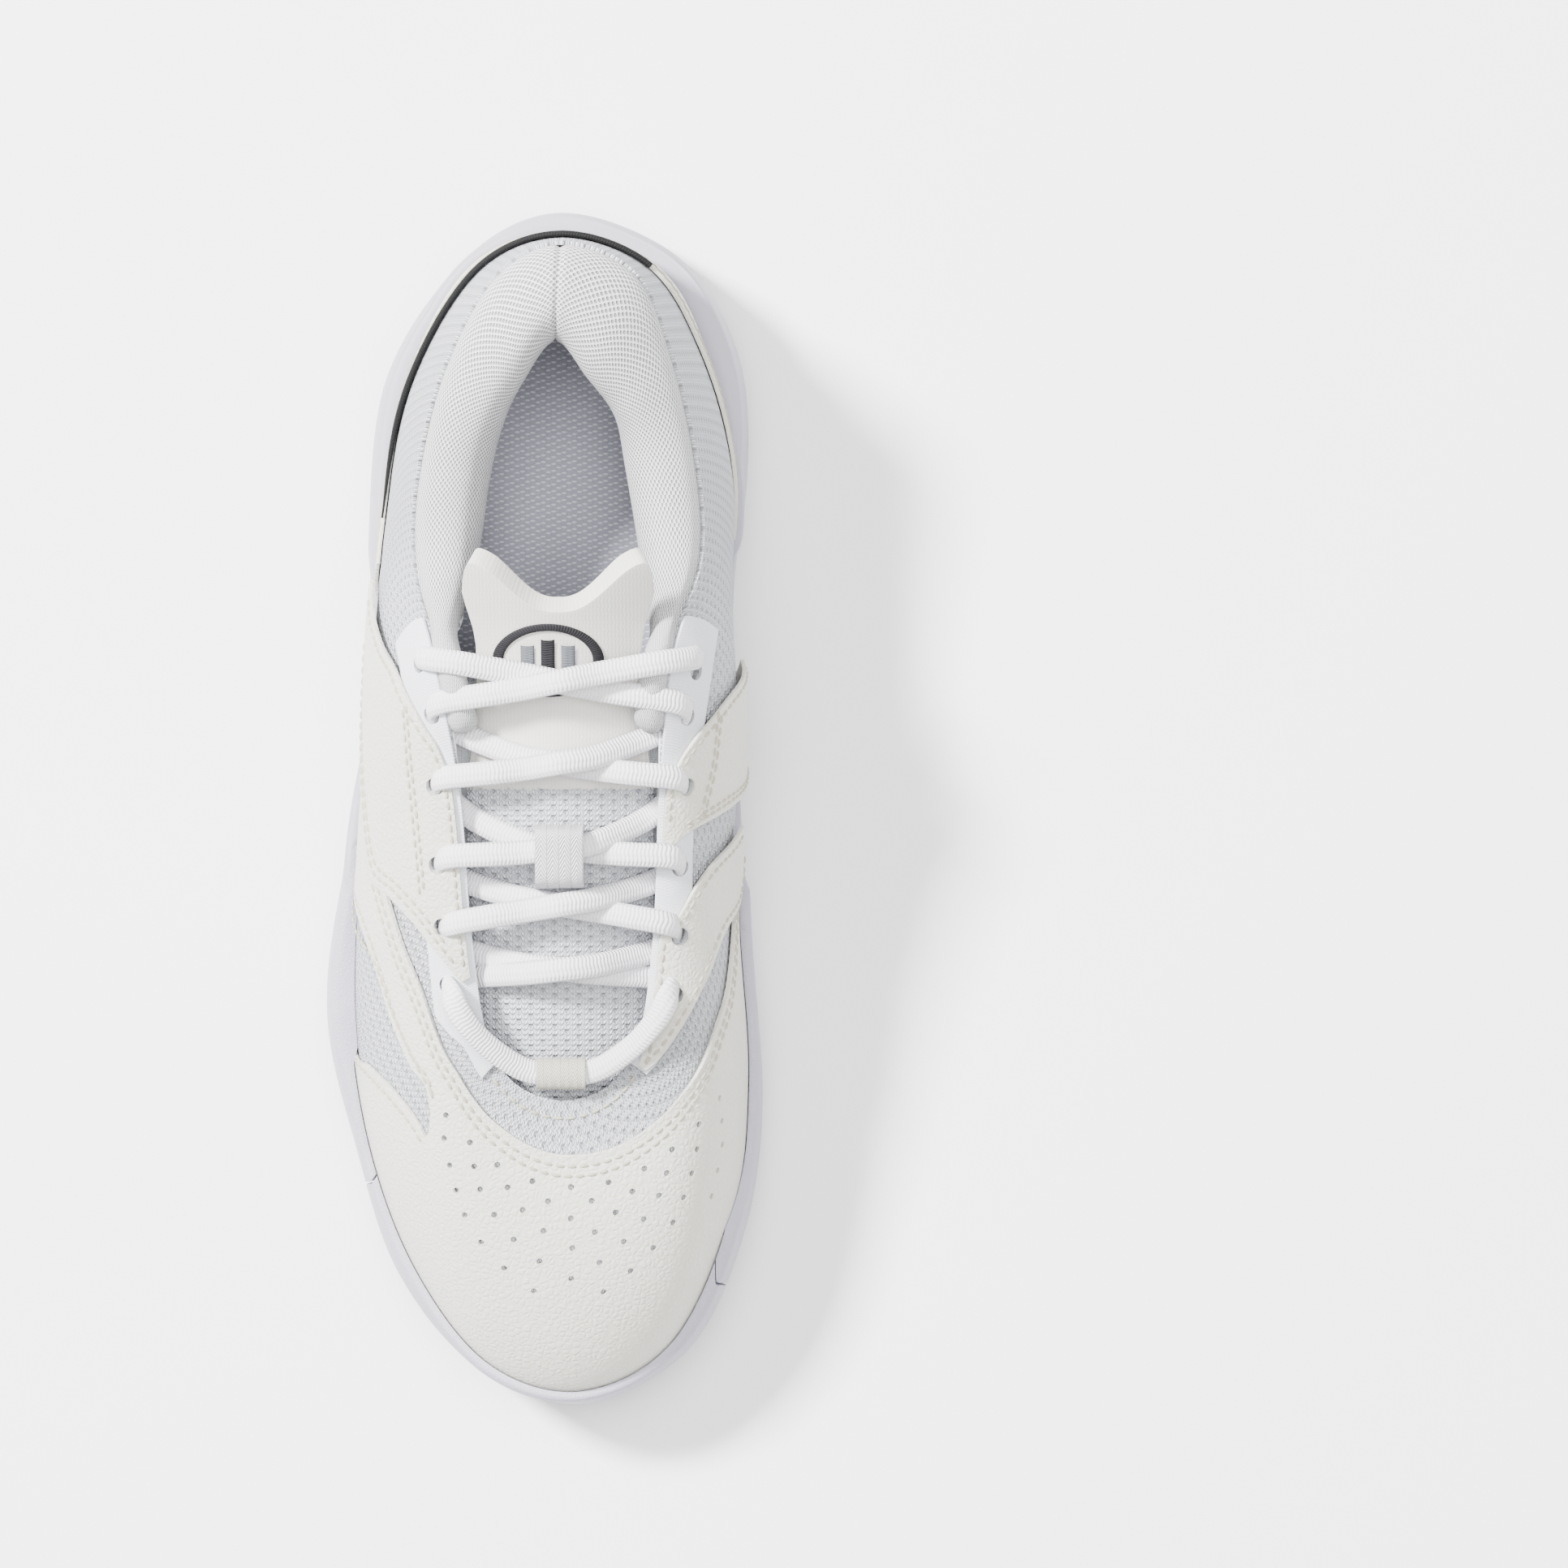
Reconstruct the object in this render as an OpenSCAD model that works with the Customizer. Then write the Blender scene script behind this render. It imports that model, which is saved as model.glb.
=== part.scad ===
// Court shoe, right foot. X points to the medial side, Y to the heel, Z up.
// The upper is one parametric surface. Station s runs round the shoe, 0 at the heel, 10 at the toe,
// and height w runs from the feather line (0) to the top line (1). Each layer is a patch of it.

/* [Overall] */
// Length of the sole
shoe_length = 300; // [270:1:360]
// Width of the sole at the forefoot
shoe_width = 110; // [95:1:132]
// Height of the feather line above the floor at the forefoot
forefoot_stack = 15; // [12:0.5:20]
// Extra height of the feather line at the heel
heel_rise = 10; // [6:0.5:14]
// Height of the turned-up toe
toe_spring = 10; // [4:0.5:12]
// Height of the upper above the feather line, as a share of the nominal upper
upper_height = 1; // [0.85:0.01:1.2]

/* [Sole] */
// Thickness of the outsole
outsole_t = 3.6; // [3:0.1:5]
// Depth of the tread grooves
tread_depth = 1.6; // [0.8:0.1:2.2]
// Number of tread ribs along the sole
tread_ribs = 30; // [20:1:40]
// Sideways swing of the herringbone
tread_zig = 3; // [1:0.5:4]
// Thickness of the rubber walls and toe guard
rubber_t = 1.8; // [1.2:0.1:2.4]
// Thickness of the shank plate
shank_t = 1.5; // [1:0.1:2]

/* [Upper] */
// Thickness of the knitted mesh
mesh_t = 1.1; // [0.8:0.1:1.4]
// Thickness of the leather panels
leather_t = 1; // [0.8:0.1:1.4]
// Thickness of the linings
lining_t = 1; // [0.7:0.1:1.3]
// Thickness of the heel counter
counter_t = 1.4; // [1:0.1:1.8]
// Thickness of the toe puff
puff_t = 0.6; // [0.4:0.1:1]
// Diameter of the eyelet holes
eyelet_d = 5; // [4:0.1:5.5]

/* [Tongue and insole] */
// Half of the tongue's width
tongue_half = 24; // [20:0.5:26]
// Thickness of the tongue's foam
tongue_foam_t = 4; // [3:0.5:6]
// Thickness of the insole's foam
insole_t = 4; // [3:0.5:5]
// Thickness of the insole's fabric
insole_cover_t = 0.8; // [0.5:0.1:1.2]
// Diameter of the lace
lace_d = 4.4; // [3.5:0.1:5]

/* [Hidden] */

gap = 0.3;
kx = shoe_width / 110;
ky = shoe_length / 300;
step = 0.25;

// Stations of the sole's outline, the feather line, the top line (with its height) and the bulge
SOLE = [[4, 150], [33, 139.5], [48, 117], [50.5, 90], [47.5, 52], [45.5, 12], [50.5, -32], [55, -70],
    [51, -105], [37, -135.5], [11, -150], [-17, -140.5], [-37, -117], [-47.5, -86], [-55, -50],
    [-50, -12], [-41.5, 28], [-44, 75], [-39, 112], [-20, 138.5]];
FEATHER = [[4.5, 140], [27, 132], [38, 112], [43, 80], [41, 45], [43, 8], [47, -32], [50, -70],
    [46, -104], [31, -135], [9, -146], [-13, -139], [-31, -116], [-42.5, -86], [-47.5, -52],
    [-44, -12], [-37, 25], [-36.5, 65], [-32, 103], [-17, 132]];
TOP = [[5.5, 139.5, 68], [24, 132, 65], [33, 112, 57], [39, 86, 48], [40, 62, 47], [32, 38, 66],
    [29, 5, 59], [27.5, -30, 52], [24, -55, 45], [17, -67, 42], [5.5, -71, 41], [-6, -67, 42],
    [-13, -55, 45], [-16.5, -30, 52], [-19, 5, 59], [-25, 38, 66], [-31, 60, 47],
    [-30.5, 82, 48], [-24, 108, 57], [-11, 131, 65]];
BULGE = [[6, 20, 0, -25], [6, 20, 1, -22], [6, 18, 4, -20], [10, 16, 6, -18], [10, 18, 9, -16],
    [12, 20, 16, -14], [4, 20, 13, 0], [2, 20, 14, 2], [2, 20, 20, 4], [2, 20, 30, 4],
    [1.5, 20, 38, 3], [2, 20, 30, 4], [2, 20, 20, 4], [2, 20, 15, 2], [2, 20, 14, 0],
    [6, 20, 10, -10], [10, 18, 10, -16], [7, 16, 6, -18], [6, 18, 3, -20], [6, 20, 1, -22]];
// Height of the sole's rim on the upper, at stations 0 to 20
RIM = [[0, 0.14], [3, 0.14], [5, 0.1], [6, 0.12], [7.5, 0.12], [8.2, 0.22], [9, 0.15], [10, 0.11],
    [11, 0.1], [13, 0.1], [14, 0.13], [15, 0.13], [16, 0.1], [18, 0.14], [20, 0.14]];
// Inner edge of the collar pad at stations -6 to 6, lateral side first
OPENING = [[-15.5, 8], [-20.5, 37], [-15.5, 62], [-12.5, 82], [-9, 95], [-4, 105], [4, 115], [12, 106],
    [18.5, 97], [21, 85], [25, 60], [27.5, 37], [26, 8]];
// Top edge of the heel panel
HEEL_TOP = [[-3.4, 0.5], [-3, 0.42], [-2.6, 0.34], [-2.1, 0.4], [-1.6, 0.47], [-1.1, 0.52], [0, 0.57],
    [1.1, 0.55], [1.6, 0.5], [2.1, 0.42], [2.6, 0.33], [3.4, 0.22]];
// Height of the tongue's crown above the feather line, its sag to the sides, and half its width
CROWN = [[-84, 29], [-70, 35], [-55, 43.5], [-30, 52], [5, 59.5], [25, 63.5], [40, 69], [52, 78], [64, 89]];
SAG = [[-84, 0.016], [30, 0.016], [64, 0.01]];
HALF = [[-84, 0.8], [-55, 0.87], [-30, 0.96], [5, 0.96], [25, 0.85], [40, 0.85], [52, 0.92], [64, 1]];
CENTRE = 5;
// The tab folds about a line across the tongue, this far along and this far under its face
TAB_Y = 24;
TAB_DEPTH = 3.6;
TAB_ANGLE = 18;

// Smooth closed curve through stations, at any station s
function wrap(v, s) = v[(floor(s) % len(v) + len(v)) % len(v)];
function spline(v, s) =
    let (k = floor(s), t = s - k, a = wrap(v, k - 1), b = wrap(v, k), c = wrap(v, k + 1), d = wrap(v, k + 2))
    0.5 * (2 * b + (c - a) * t + (2 * a - 5 * b + 4 * c - d) * t * t + (3 * b - a - 3 * c + d) * t * t * t);
function ease(t) = let (c = min(1, max(0, t))) c * c * (3 - 2 * c);
function unit(v) = v / norm(v);
function plan(v, s) = let (p = spline(v, s)) [p[0] * kx, p[1] * ky];
function outward(v, s) = let (d = unit(plan(v, s + 0.02) - plan(v, s - 0.02))) [-d[1], d[0]];

// Underside of the sole and height of the feather line, both along the length
function ground(y) = toe_spring * pow(max(0, -60 - y / ky) / 90, 2) + 3 * pow(max(0, y / ky - 118) / 31, 2);
function floor_z(y) = forefoot_stack + heel_rise * ease((y / ky + 50) / 110) + (y < 0 ? ground(y) : 0);

// The upper's surface: a cubic from the feather line to the top line
function upper(s, w) =
    let (b = plan(FEATHER, s), t = spline(TOP, s), h = spline(BULGE, s), n = outward(FEATHER, s))
    let (ty = t[1] * ky, tz = floor_z(max(ty, -60 * ky)) + t[2] * upper_height)
    let (p0 = [b[0], b[1], floor_z(b[1])], p3 = [t[0] * kx, ty, tz])
    let (p1 = p0 + [n[0] * h[0], n[1] * h[0], h[1] * upper_height])
    let (p2 = p3 + [n[0] * h[2], n[1] * h[2], h[3] * upper_height], a = 1 - w)
    a * a * a * p0 + 3 * a * a * w * p1 + 3 * a * w * w * p2 + w * w * w * p3;
function upper_normal(s, w) =
    unit(cross(upper(s, w + 0.02) - upper(s, w - 0.02), upper(s + 0.04, w) - upper(s - 0.04, w)));
function lifted(s, w, t) = upper(s, w) + upper_normal(s, w) * t;

// One closed solid through a list of equal loops, turned the right way out
function volume6(p, f) = [for (t = f) cross(p[t[0]], p[t[1]]) * p[t[2]]] * [for (t = f) 1];
function cap(m, at) = [for (i = [0 : m / 2 - 2]) each [[at + i, at + i + 1, at + m - 2 - i],
    [at + i, at + m - 2 - i, at + m - 1 - i]]];
module skin(loops, closed = false) {
    m = len(loops[0]);
    n = len(loops);
    points = [for (l = loops) each l];
    sides = [for (i = [0 : n - (closed ? 1 : 2)], j = [0 : m - 1])
        let (a = i * m, b = ((i + 1) % n) * m, k = (j + 1) % m)
        each [[a + j, a + k, b + k], [a + j, b + k, b + j]]];
    ends = closed ? [] : concat([for (f = cap(m, 0)) [f[0], f[2], f[1]]], cap(m, (n - 1) * m));
    faces = concat(sides, ends);
    flip = volume6(points, faces) > 0;
    polyhedron(points, flip ? [for (f = faces) [f[0], f[2], f[1]]] : faces);
}

// A layer of the upper between stations s0 and s1, heights low(s) and high(s), offsets t0 and t1
function stations(s0, s1) = [s0,
    each [for (k = [ceil((s0 + 0.08) / step - 0.5) : floor((s1 - 0.08) / step - 0.5)]) (k + 0.5) * step], s1];
function strip(s, w0, w1, n, t) = [for (j = [0 : n]) lifted(s, w0 + (w1 - w0) * j / n, t)];
function reverse(v) = [for (i = [len(v) - 1 : -1 : 0]) v[i]];
module patch(s0, s1, low, high, t0, t1, n = 8) { patch_at(stations(s0, s1), low, high, t0, t1, n); }
module patch_at(list, low, high, t0, t1, n) {
    skin([for (s = list)
        let (w0 = lookup(s, low), w1 = lookup(s, high))
        concat(strip(s, w0, w1, n, t1), reverse(strip(s, w0, w1, n, t0)))]);
}

// A flat-lying slab of the sole: loops taken round the whole shoe
ROUND = [for (k = [0 : 20 / step - 1]) (k + 0.5) * step];

// Layers of the upper, as offsets from its surface
MESH = [-mesh_t - 0.1, -0.1];
LEATHER = [gap - 0.1, gap - 0.1 + leather_t];
FACING = [LEATHER[1] + gap, LEATHER[1] + gap + leather_t];
PUFF = [MESH[0] - gap - puff_t, MESH[0] - gap];
VAMP_LINING = [PUFF[0] - gap - lining_t, PUFF[0] - gap];
COUNTER = [MESH[0] - gap - counter_t, MESH[0] - gap];
SIDE_LINING = [MESH[0] - gap - lining_t, MESH[0] - gap];

// Borders of the panels, as [station, height]
TOE_BORDER = [[5.7, 0.24], [6.8, 0.47], [7.4, 0.6], [8.5, 0.78], [9.25, 0.84], [10, 0.865], [10.7, 0.87],
    [11.25, 0.86], [11.8, 0.83], [12.4, 0.76], [13, 0.69], [13.5, 0.61], [14, 0.54], [14.45, 0.47],
    [15, 0.41], [15.6, 0.36]];
WINDOW_TOP = [[12, 0.63], [12.2, 0.65], [12.7, 0.57], [13.2, 0.5], [13.6, 0.45], [14.1, 0.36],
    [14.7, 0.17]];
WINDOW_LOW = [[12, 0.6], [12.2, 0.56], [12.85, 0.43], [13.35, 0.28], [13.8, 0.07]];
PANEL_LOW = [[5.5, 0.16], [5.9, 0.27], [6.58, 0.55], [7.04, 0.67], [7.5, 0.77], [7.88, 0.84], [8.46, 0.92]];
PANEL_TOP = [[5.5, 0.31], [6.12, 0.59], [6.54, 0.76], [6.86, 0.87], [7.05, 0.95], [8.5, 0.95]];
MEDIAL_STAY_LOW = [[4.4, 0.17], [4.95, 0.17], [5.25, 0.3], [5.54, 0.45], [6.06, 0.72], [6.36, 0.9]];
MEDIAL_STAY_TOP = [[4.4, 0.34], [4.56, 0.42], [5.02, 0.62], [5.36, 0.74], [5.62, 0.84], [5.8, 0.9],
    [6.04, 0.95], [6.4, 0.95]];
LATERAL_STAY_LOW = [[12.64, 0.91], [13.04, 0.81], [13.42, 0.71], [13.84, 0.59], [14.3, 0.46],
    [15.2, 0.38], [16.4, 0.32]];
LATERAL_STAY_TOP = [[12.6, 0.95], [14.02, 0.95], [14.3, 0.92], [14.52, 0.86], [14.88, 0.78], [15.14, 0.74],
    [15.48, 0.68], [15.82, 0.64], [16.14, 0.6], [16.4, 0.55]];
MEDIAL_FACING_LOW = [[4.6, 0.76], [7, 0.76], [7.6, 0.8], [8, 0.86], [8.5, 0.91]];
LATERAL_FACING_LOW = [[11.5, 0.91], [12, 0.88], [12.4, 0.8], [12.7, 0.75], [15.4, 0.75]];
FLAT_LOW = [[0, 0.02], [20, 0.02]];
FLAT_TOP = [[0, 0.985], [20, 0.985]];
EYELETS_MEDIAL = [[7.46, 0.855], [6.96, 0.845], [6.48, 0.84], [5.92, 0.84], [5.45, 0.865], [5.1, 0.855]];
EYELETS_LATERAL = [[12.72, 0.84], [13.18, 0.845], [13.6, 0.845], [14.1, 0.87], [14.56, 0.9], [14.97, 0.88]];

// Lace route, half of it: [from the centre line, along, height, share of the crossing lift]
LACE = [[-9, -65, 61.5, 0], [-18, -59, 65, 0], [-24, -52, 68, 0], [-27, -46, 67.5, 0], [-27.5, -43, 62, 0],
    [-23, -42, 58.5, 0], [-9, -41, 67, 0.6], [0, -40, 69, 1], [9, -39, 67, 0.6], [20, -36.5, 61, 0],
    [26, -34, 61, 0], [28.5, -30, 66.5, 0], [26, -28.5, 72.5, 0], [18, -27, 74, 0.2], [9, -25.5, 73, 0.6],
    [0, -24, 75, 1], [-9, -22.5, 73, 0.6], [-20, -19.5, 67, 0], [-26.5, -16.5, 67, 0], [-29.5, -13.5, 71.5, 0],
    [-27, -12, 77, 0], [-18, -11.5, 79, 0.2], [-9, -11, 78.2, 0.6], [0, -10, 79.7, 1], [9, -8.5, 77.8, 0.6],
    [20, -3.5, 72.3, 0], [26, 1, 72.3, 0], [30, 6, 77, 0], [28, 7.5, 82.5, 0], [18, 8.5, 85.5, 0.2],
    [9, 9.5, 84.5, 0.6], [0, 11, 86.5, 1], [-9, 12.5, 84.5, 0.6], [-20, 16.5, 79.8, 0], [-27, 20, 79, 0],
    [-31, 24, 83, 0], [-29, 26, 88.5, 0], [-20, 27.5, 91.8, 0.2], [-10, 29, 92.2, 0.6], [0, 31, 95.6, 1],
    [10, 33, 94.2, 0.6], [24, 35.5, 95, 0.1], [31, 36.5, 92, 0], [33.8, 37, 87, 0], [32.5, 37, 81, 0],
    [30, 35, 75, 0], [31, 27, 69, 0], [32, 16, 65, 0], [32, 6, 62, 0]];
LACE_LIFT = 2.4;
TIP = 20;

// A point of the lace's route, carried with the tongue as the shoe's sizes change
function lace_point(x, y, z) =
    let (rise = (heel_rise - 10) * ease((max(y, -60) + 50) / 110) + (upper_height - 1) * lookup(y, CROWN))
    [(CENTRE + x) * kx, y * ky, z + forefoot_stack - 15 + rise];

// The sole's side: distances from the feather line, outside the shoe
function reach(s) = (plan(SOLE, s) - plan(FEATHER, s)) * outward(FEATHER, s);
function beside(s, d, z) = let (p = plan(FEATHER, s) + outward(FEATHER, s) * d) [p[0], p[1], z];
function rim_point(s, g) = lifted(s, lookup(s, RIM) + g / 55, LEATHER[1] + gap);
function side_path(s, g) =
    let (d = reach(s), r = rim_point(s, g), f = plan(FEATHER, s))
    let (base = ground(beside(s, d - 2.4 + g, 0)[1]) + outsole_t)
    let (dr = ([r[0], r[1]] - f) * outward(FEATHER, s), zr = rim_point(s, 0)[2])
    [beside(s, d - 2.4 + g, base + gap), beside(s, d - 0.7 + g, base + 3.5), beside(s, d + g, base + 7),
        beside(s, max(d - 1.2, dr + 2.8) + g, zr - 2.5), beside(s, max(d - 2.8, dr + 1.8) + g / 2, zr + g), r];
function in_wrap(s) = s > 5.8 && s < 15.2 ? 1 : 0;

module outsole() {
    rows = 4 * tread_ribs;
    cols = 6;
    function edge_point(s) = let (e = beside(s, reach(s) - 2.6, 0)) [e[0], e[1]];
    color("gainsboro") skin([for (i = [0 : rows])
        let (s = 0.12 + 9.76 * i / rows, inner = i > 3 && i < rows - 4, deep = inner && (i % 4) > 1)
        let (a = edge_point(20 - s), b = edge_point(s), fade = ease(i / 12) * ease((rows - i) / 12))
        let (low = [for (j = [0 : cols])
            let (side = j == 0 || j == cols, zig = side ? 0 : (j % 2 - 0.5) * tread_zig * fade)
            let (p = a + (b - a) * j / cols)
            [p[0], p[1] + zig, ground(p[1]) + (deep && !side ? tread_depth : 0)]])
        let (high = [for (j = [cols : -1 : 0])
            let (p = a + (b - a) * j / cols) [p[0], p[1], ground(p[1]) + outsole_t]])
        concat(low, high)]);
}
module midsole() {
    cup = 1.9 + gap;
    function arch(s) = (s > 3.6 && s < 6.9) || (s > 13.1 && s < 16.4) ? shank_t + gap : 0;
    sides = [for (s = ROUND) side_path(s, -in_wrap(s) * (rubber_t + gap))];
    inside = [for (s = ROUND) let (w = lookup(s, RIM), t = LEATHER[1] + gap)
        [lifted(s, w / 2, t), lifted(s, 0.03, t),
            beside(s, 1, floor_z(plan(FEATHER, s)[1]) - cup - gap - arch(s))]];
    color("ghostwhite") skin(concat([for (k = [0 : 5]) [for (p = sides) p[k]]],
        [for (k = [0 : 2]) [for (p = inside) p[k]]]));
}
module wrap_piece(s0, s1) {
    skin([for (s = stations(s0, s1)) concat(side_path(s, 0), reverse(side_path(s, -rubber_t)))]);
}
module midfoot_shank() {
    color("dimgray") skin([for (s = ROUND) if (s > 3.8 && s < 6.7)
        let (a = beside(20 - s, 1, floor_z(plan(FEATHER, 20 - s)[1])))
        let (b = beside(s, 1, floor_z(plan(FEATHER, s)[1])))
        let (l = a + (b - a) * 0.26, r = a + (b - a) * 0.74)
        let (top = [0, 0, -1.9 - gap], low = top - [0, 0, shank_t])
        [l + low, r + low, r + top, l + top]]);
}
module slab(loops) {
    skin([for (l = loops) [for (s = ROUND) beside(s, -l[0], floor_z(plan(FEATHER, s)[1]) + l[1])]]);
}
module toe_guard() { color("lavender") wrap_piece(8.42, 12.72); }
module lateral_outrigger() { color("lavender") wrap_piece(12.78, 15); }
module medial_sidewall() { color("lavender") wrap_piece(6, 8.36); }
module strobel_board() { color("wheat") slab([[0.6, -1.9], [0.6, -0.6]]); }
module sockliner_foam() {
    color("silver") slab([[6.6, -gap], [6, insole_t / 2], [5.8, insole_t + 2], [12.8, insole_t - gap]]);
}
module sockliner_cover() {
    edge = insole_t + 2 + gap;
    color("lightsteelblue") slab([[13.3, insole_t], [6, edge], [6, edge + insole_cover_t],
        [13.3, insole_t + insole_cover_t]]);
}

// Eyelet holes through a layer, each square to the upper
module bored(eyelets) {
    difference() {
        children();
        for (e = eyelets) {
            n = upper_normal(e[0], e[1]);
            translate(upper(e[0], e[1])) rotate([0, acos(n[2]), atan2(n[1], n[0])])
                cylinder(d = eyelet_d, h = 16, center = true, $fn = 24);
        }
    }
}
function pick(list, ks) = [for (k = ks) list[k - 1]];
VAMP_EYELETS = concat(pick(EYELETS_MEDIAL, [1, 2]), pick(EYELETS_LATERAL, [1, 2]));
module vamp_mesh() {
    color("aliceblue") bored(VAMP_EYELETS) patch(6.9, 13.2, FLAT_LOW, FLAT_TOP, MESH[0], MESH[1], 10);
}
module quarter_mesh_medial() {
    color("aliceblue") bored(pick(EYELETS_MEDIAL, [3, 4, 5, 6]))
        patch(0.03, 6.85, FLAT_LOW, FLAT_TOP, MESH[0], MESH[1], 9);
}
module quarter_mesh_lateral() {
    color("aliceblue") bored(pick(EYELETS_LATERAL, [3, 4, 5, 6]))
        patch(13.25, 19.97, FLAT_LOW, FLAT_TOP, MESH[0], MESH[1], 9);
}
module vamp_lining() {
    color("snow") bored(VAMP_EYELETS)
        patch(6.9, 13.2, FLAT_LOW, FLAT_TOP, VAMP_LINING[0], VAMP_LINING[1], 8);
}
module quarter_linings() {
    color("snow") bored(pick(EYELETS_MEDIAL, [3, 4, 5, 6]))
        patch(4.98, 6.85, FLAT_LOW, FLAT_TOP, SIDE_LINING[0], SIDE_LINING[1], 7);
    color("snow") bored(pick(EYELETS_LATERAL, [3, 4, 5, 6]))
        patch(13.25, 15.02, FLAT_LOW, FLAT_TOP, SIDE_LINING[0], SIDE_LINING[1], 7);
}
module toe_puff() {
    color("tan") patch(8.3, 11.7, FLAT_LOW, [[8, 0.4], [10, 0.5], [12, 0.4]], PUFF[0], PUFF[1], 5);
}
module heel_counter() {
    color("dimgray") patch(-2.8, 2.8, [[-3, 0.03], [3, 0.03]],
        [[-3, 0.26], [-1.5, 0.38], [1.5, 0.38], [3, 0.26]],
        COUNTER[0], COUNTER[1], 5);
}
module toe_overlay() {
    high = concat([for (b = TOE_BORDER) if (b[0] < 12) b], [[12, 0.81], [12.01, 0.585]], WINDOW_LOW);
    color("linen") patch_at(concat(stations(5.8, 12), stations(12.02, 13.75)), FLAT_LOW, high,
        LEATHER[0], LEATHER[1], 9);
}
module lateral_panel() { color("linen") patch(12.06, 16.4, WINDOW_TOP, TOE_BORDER, LEATHER[0], LEATHER[1], 5); }
module medial_panel() {
    color("linen") bored(pick(EYELETS_MEDIAL, [1, 2]))
        patch(5.55, 8.46, PANEL_LOW, PANEL_TOP, FACING[0], FACING[1], 5);
}
module medial_eyestay() {
    color("linen") bored(pick(EYELETS_MEDIAL, [4])) patch(4.4, 6.36, MEDIAL_STAY_LOW, MEDIAL_STAY_TOP,
        FACING[0], FACING[1], 6);
}
module lateral_eyestay() {
    color("linen") bored(pick(EYELETS_LATERAL, [2, 3, 4]))
        patch(12.64, 16.4, LATERAL_STAY_LOW, LATERAL_STAY_TOP, FACING[0], FACING[1], 6);
}
module medial_facing() {
    color("white") bored(EYELETS_MEDIAL)
        patch(4.65, 8.52, MEDIAL_FACING_LOW, FLAT_TOP, LEATHER[0], LEATHER[1], 5);
}
module lateral_facing() {
    color("white") bored(EYELETS_LATERAL)
        patch(11.5, 15.35, LATERAL_FACING_LOW, FLAT_TOP, LEATHER[0], LEATHER[1], 5);
}
module heel_overlay() {
    color("linen") patch(-3.4, 3.4, [[-4, 0.02], [4, 0.02]], HEEL_TOP, LEATHER[0], LEATHER[1], 6);
}
module heel_piping() {
    color("black") tube([for (k = [-12 : 4]) let (s = k * step)
        lifted(s, lookup(s, HEEL_TOP) + 0.022, LEATHER[1] - 0.2)], 0.6, 6);
}

// A tube through points, each ring square to the bend there
module tube(p, r, sides) {
    n = len(p);
    tangent = [for (i = [0 : n - 1]) unit(p[min(n - 1, i + 1)] - p[max(0, i - 1)])];
    skin([for (i = [0 : n - 1])
        let (t = tangent[i], u = unit(cross(t, abs(t[2]) > 0.8 ? [1, 0, 0] : [0, 0, 1])), v = cross(t, u))
        [for (j = [0 : sides - 1]) let (a = (j + 0.5) * 360 / sides) p[i] + (u * cos(a) + v * sin(a)) * r]]);
}

// The collar: a path over the pad from the top line's outside to the footbed
function collar_path(s) =
    let (t = upper(s, 1), o = spline(OPENING, s + 6), z = [0, 0, 1])
    let (m = [o[0] * kx - t[0], o[1] * ky - t[1], 0])
    let (wall = COUNTER[0] - 2 * gap - lining_t)
    [lifted(s, 0.93, SIDE_LINING[1]), t + unit(m) * 1.4 + z * 0.6, t + m * 0.22 + z * 3.4,
        t + m * 0.5 + z * 4.4, t + m * 0.76 + z * 2.6, t + m * 0.95 - z * 3, t + m - z * 10,
        t + m * 0.84 - z * 18,
        lifted(s, 0.38, wall - 2), lifted(s, 0.2, wall), lifted(s, 0.05, wall)];
function path_at(p, k, n) = let (q = len(p) - 1, u = k / n * q, i = min(q - 1, floor(u)), t = u - i)
    let (a = p[max(0, i - 1)], b = p[i], c = p[i + 1], d = p[min(q, i + 2)])
    0.5 * (2 * b + (c - a) * t + (2 * a - 5 * b + 4 * c - d) * t * t + (3 * b - a - 3 * c + d) * t * t * t);
function collar_skin(s, n, off) = let (p = collar_path(s), out = upper(s, 1) - upper(s, 0.9))
    let (o = spline(OPENING, s + 6), t = upper(s, 1), m = unit([o[0] * kx - t[0], o[1] * ky - t[1], 0]))
    [for (k = [0 : n]) let (d = path_at(p, min(n, k + 0.2), n) - path_at(p, max(0, k - 0.2), n))
        let (g = [m * d, d[2]], l = norm(g)) path_at(p, k, n) + (m * (g[1] / l) * -1 + [0, 0, g[0] / l]) * off];
PAD_STEPS = 12;
module collar_foam() {
    n = PAD_STEPS;
    color("khaki") skin([for (s = stations(-4.85, 4.85))
        concat([for (k = [1 : PAD_STEPS - 3]) collar_skin(s, n, -lining_t - 2 * gap)[k]],
            [for (w = [0.54, 0.61, 0.68, 0.75, 0.82]) lifted(s, w, COUNTER[0] - 2 * gap)])]);
}
module collar_lining() {
    n = PAD_STEPS;
    color("whitesmoke") skin([for (s = stations(-4.9, 4.9))
        concat(collar_skin(s, n, 0), reverse(collar_skin(s, n, -lining_t)))]);
}

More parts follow.
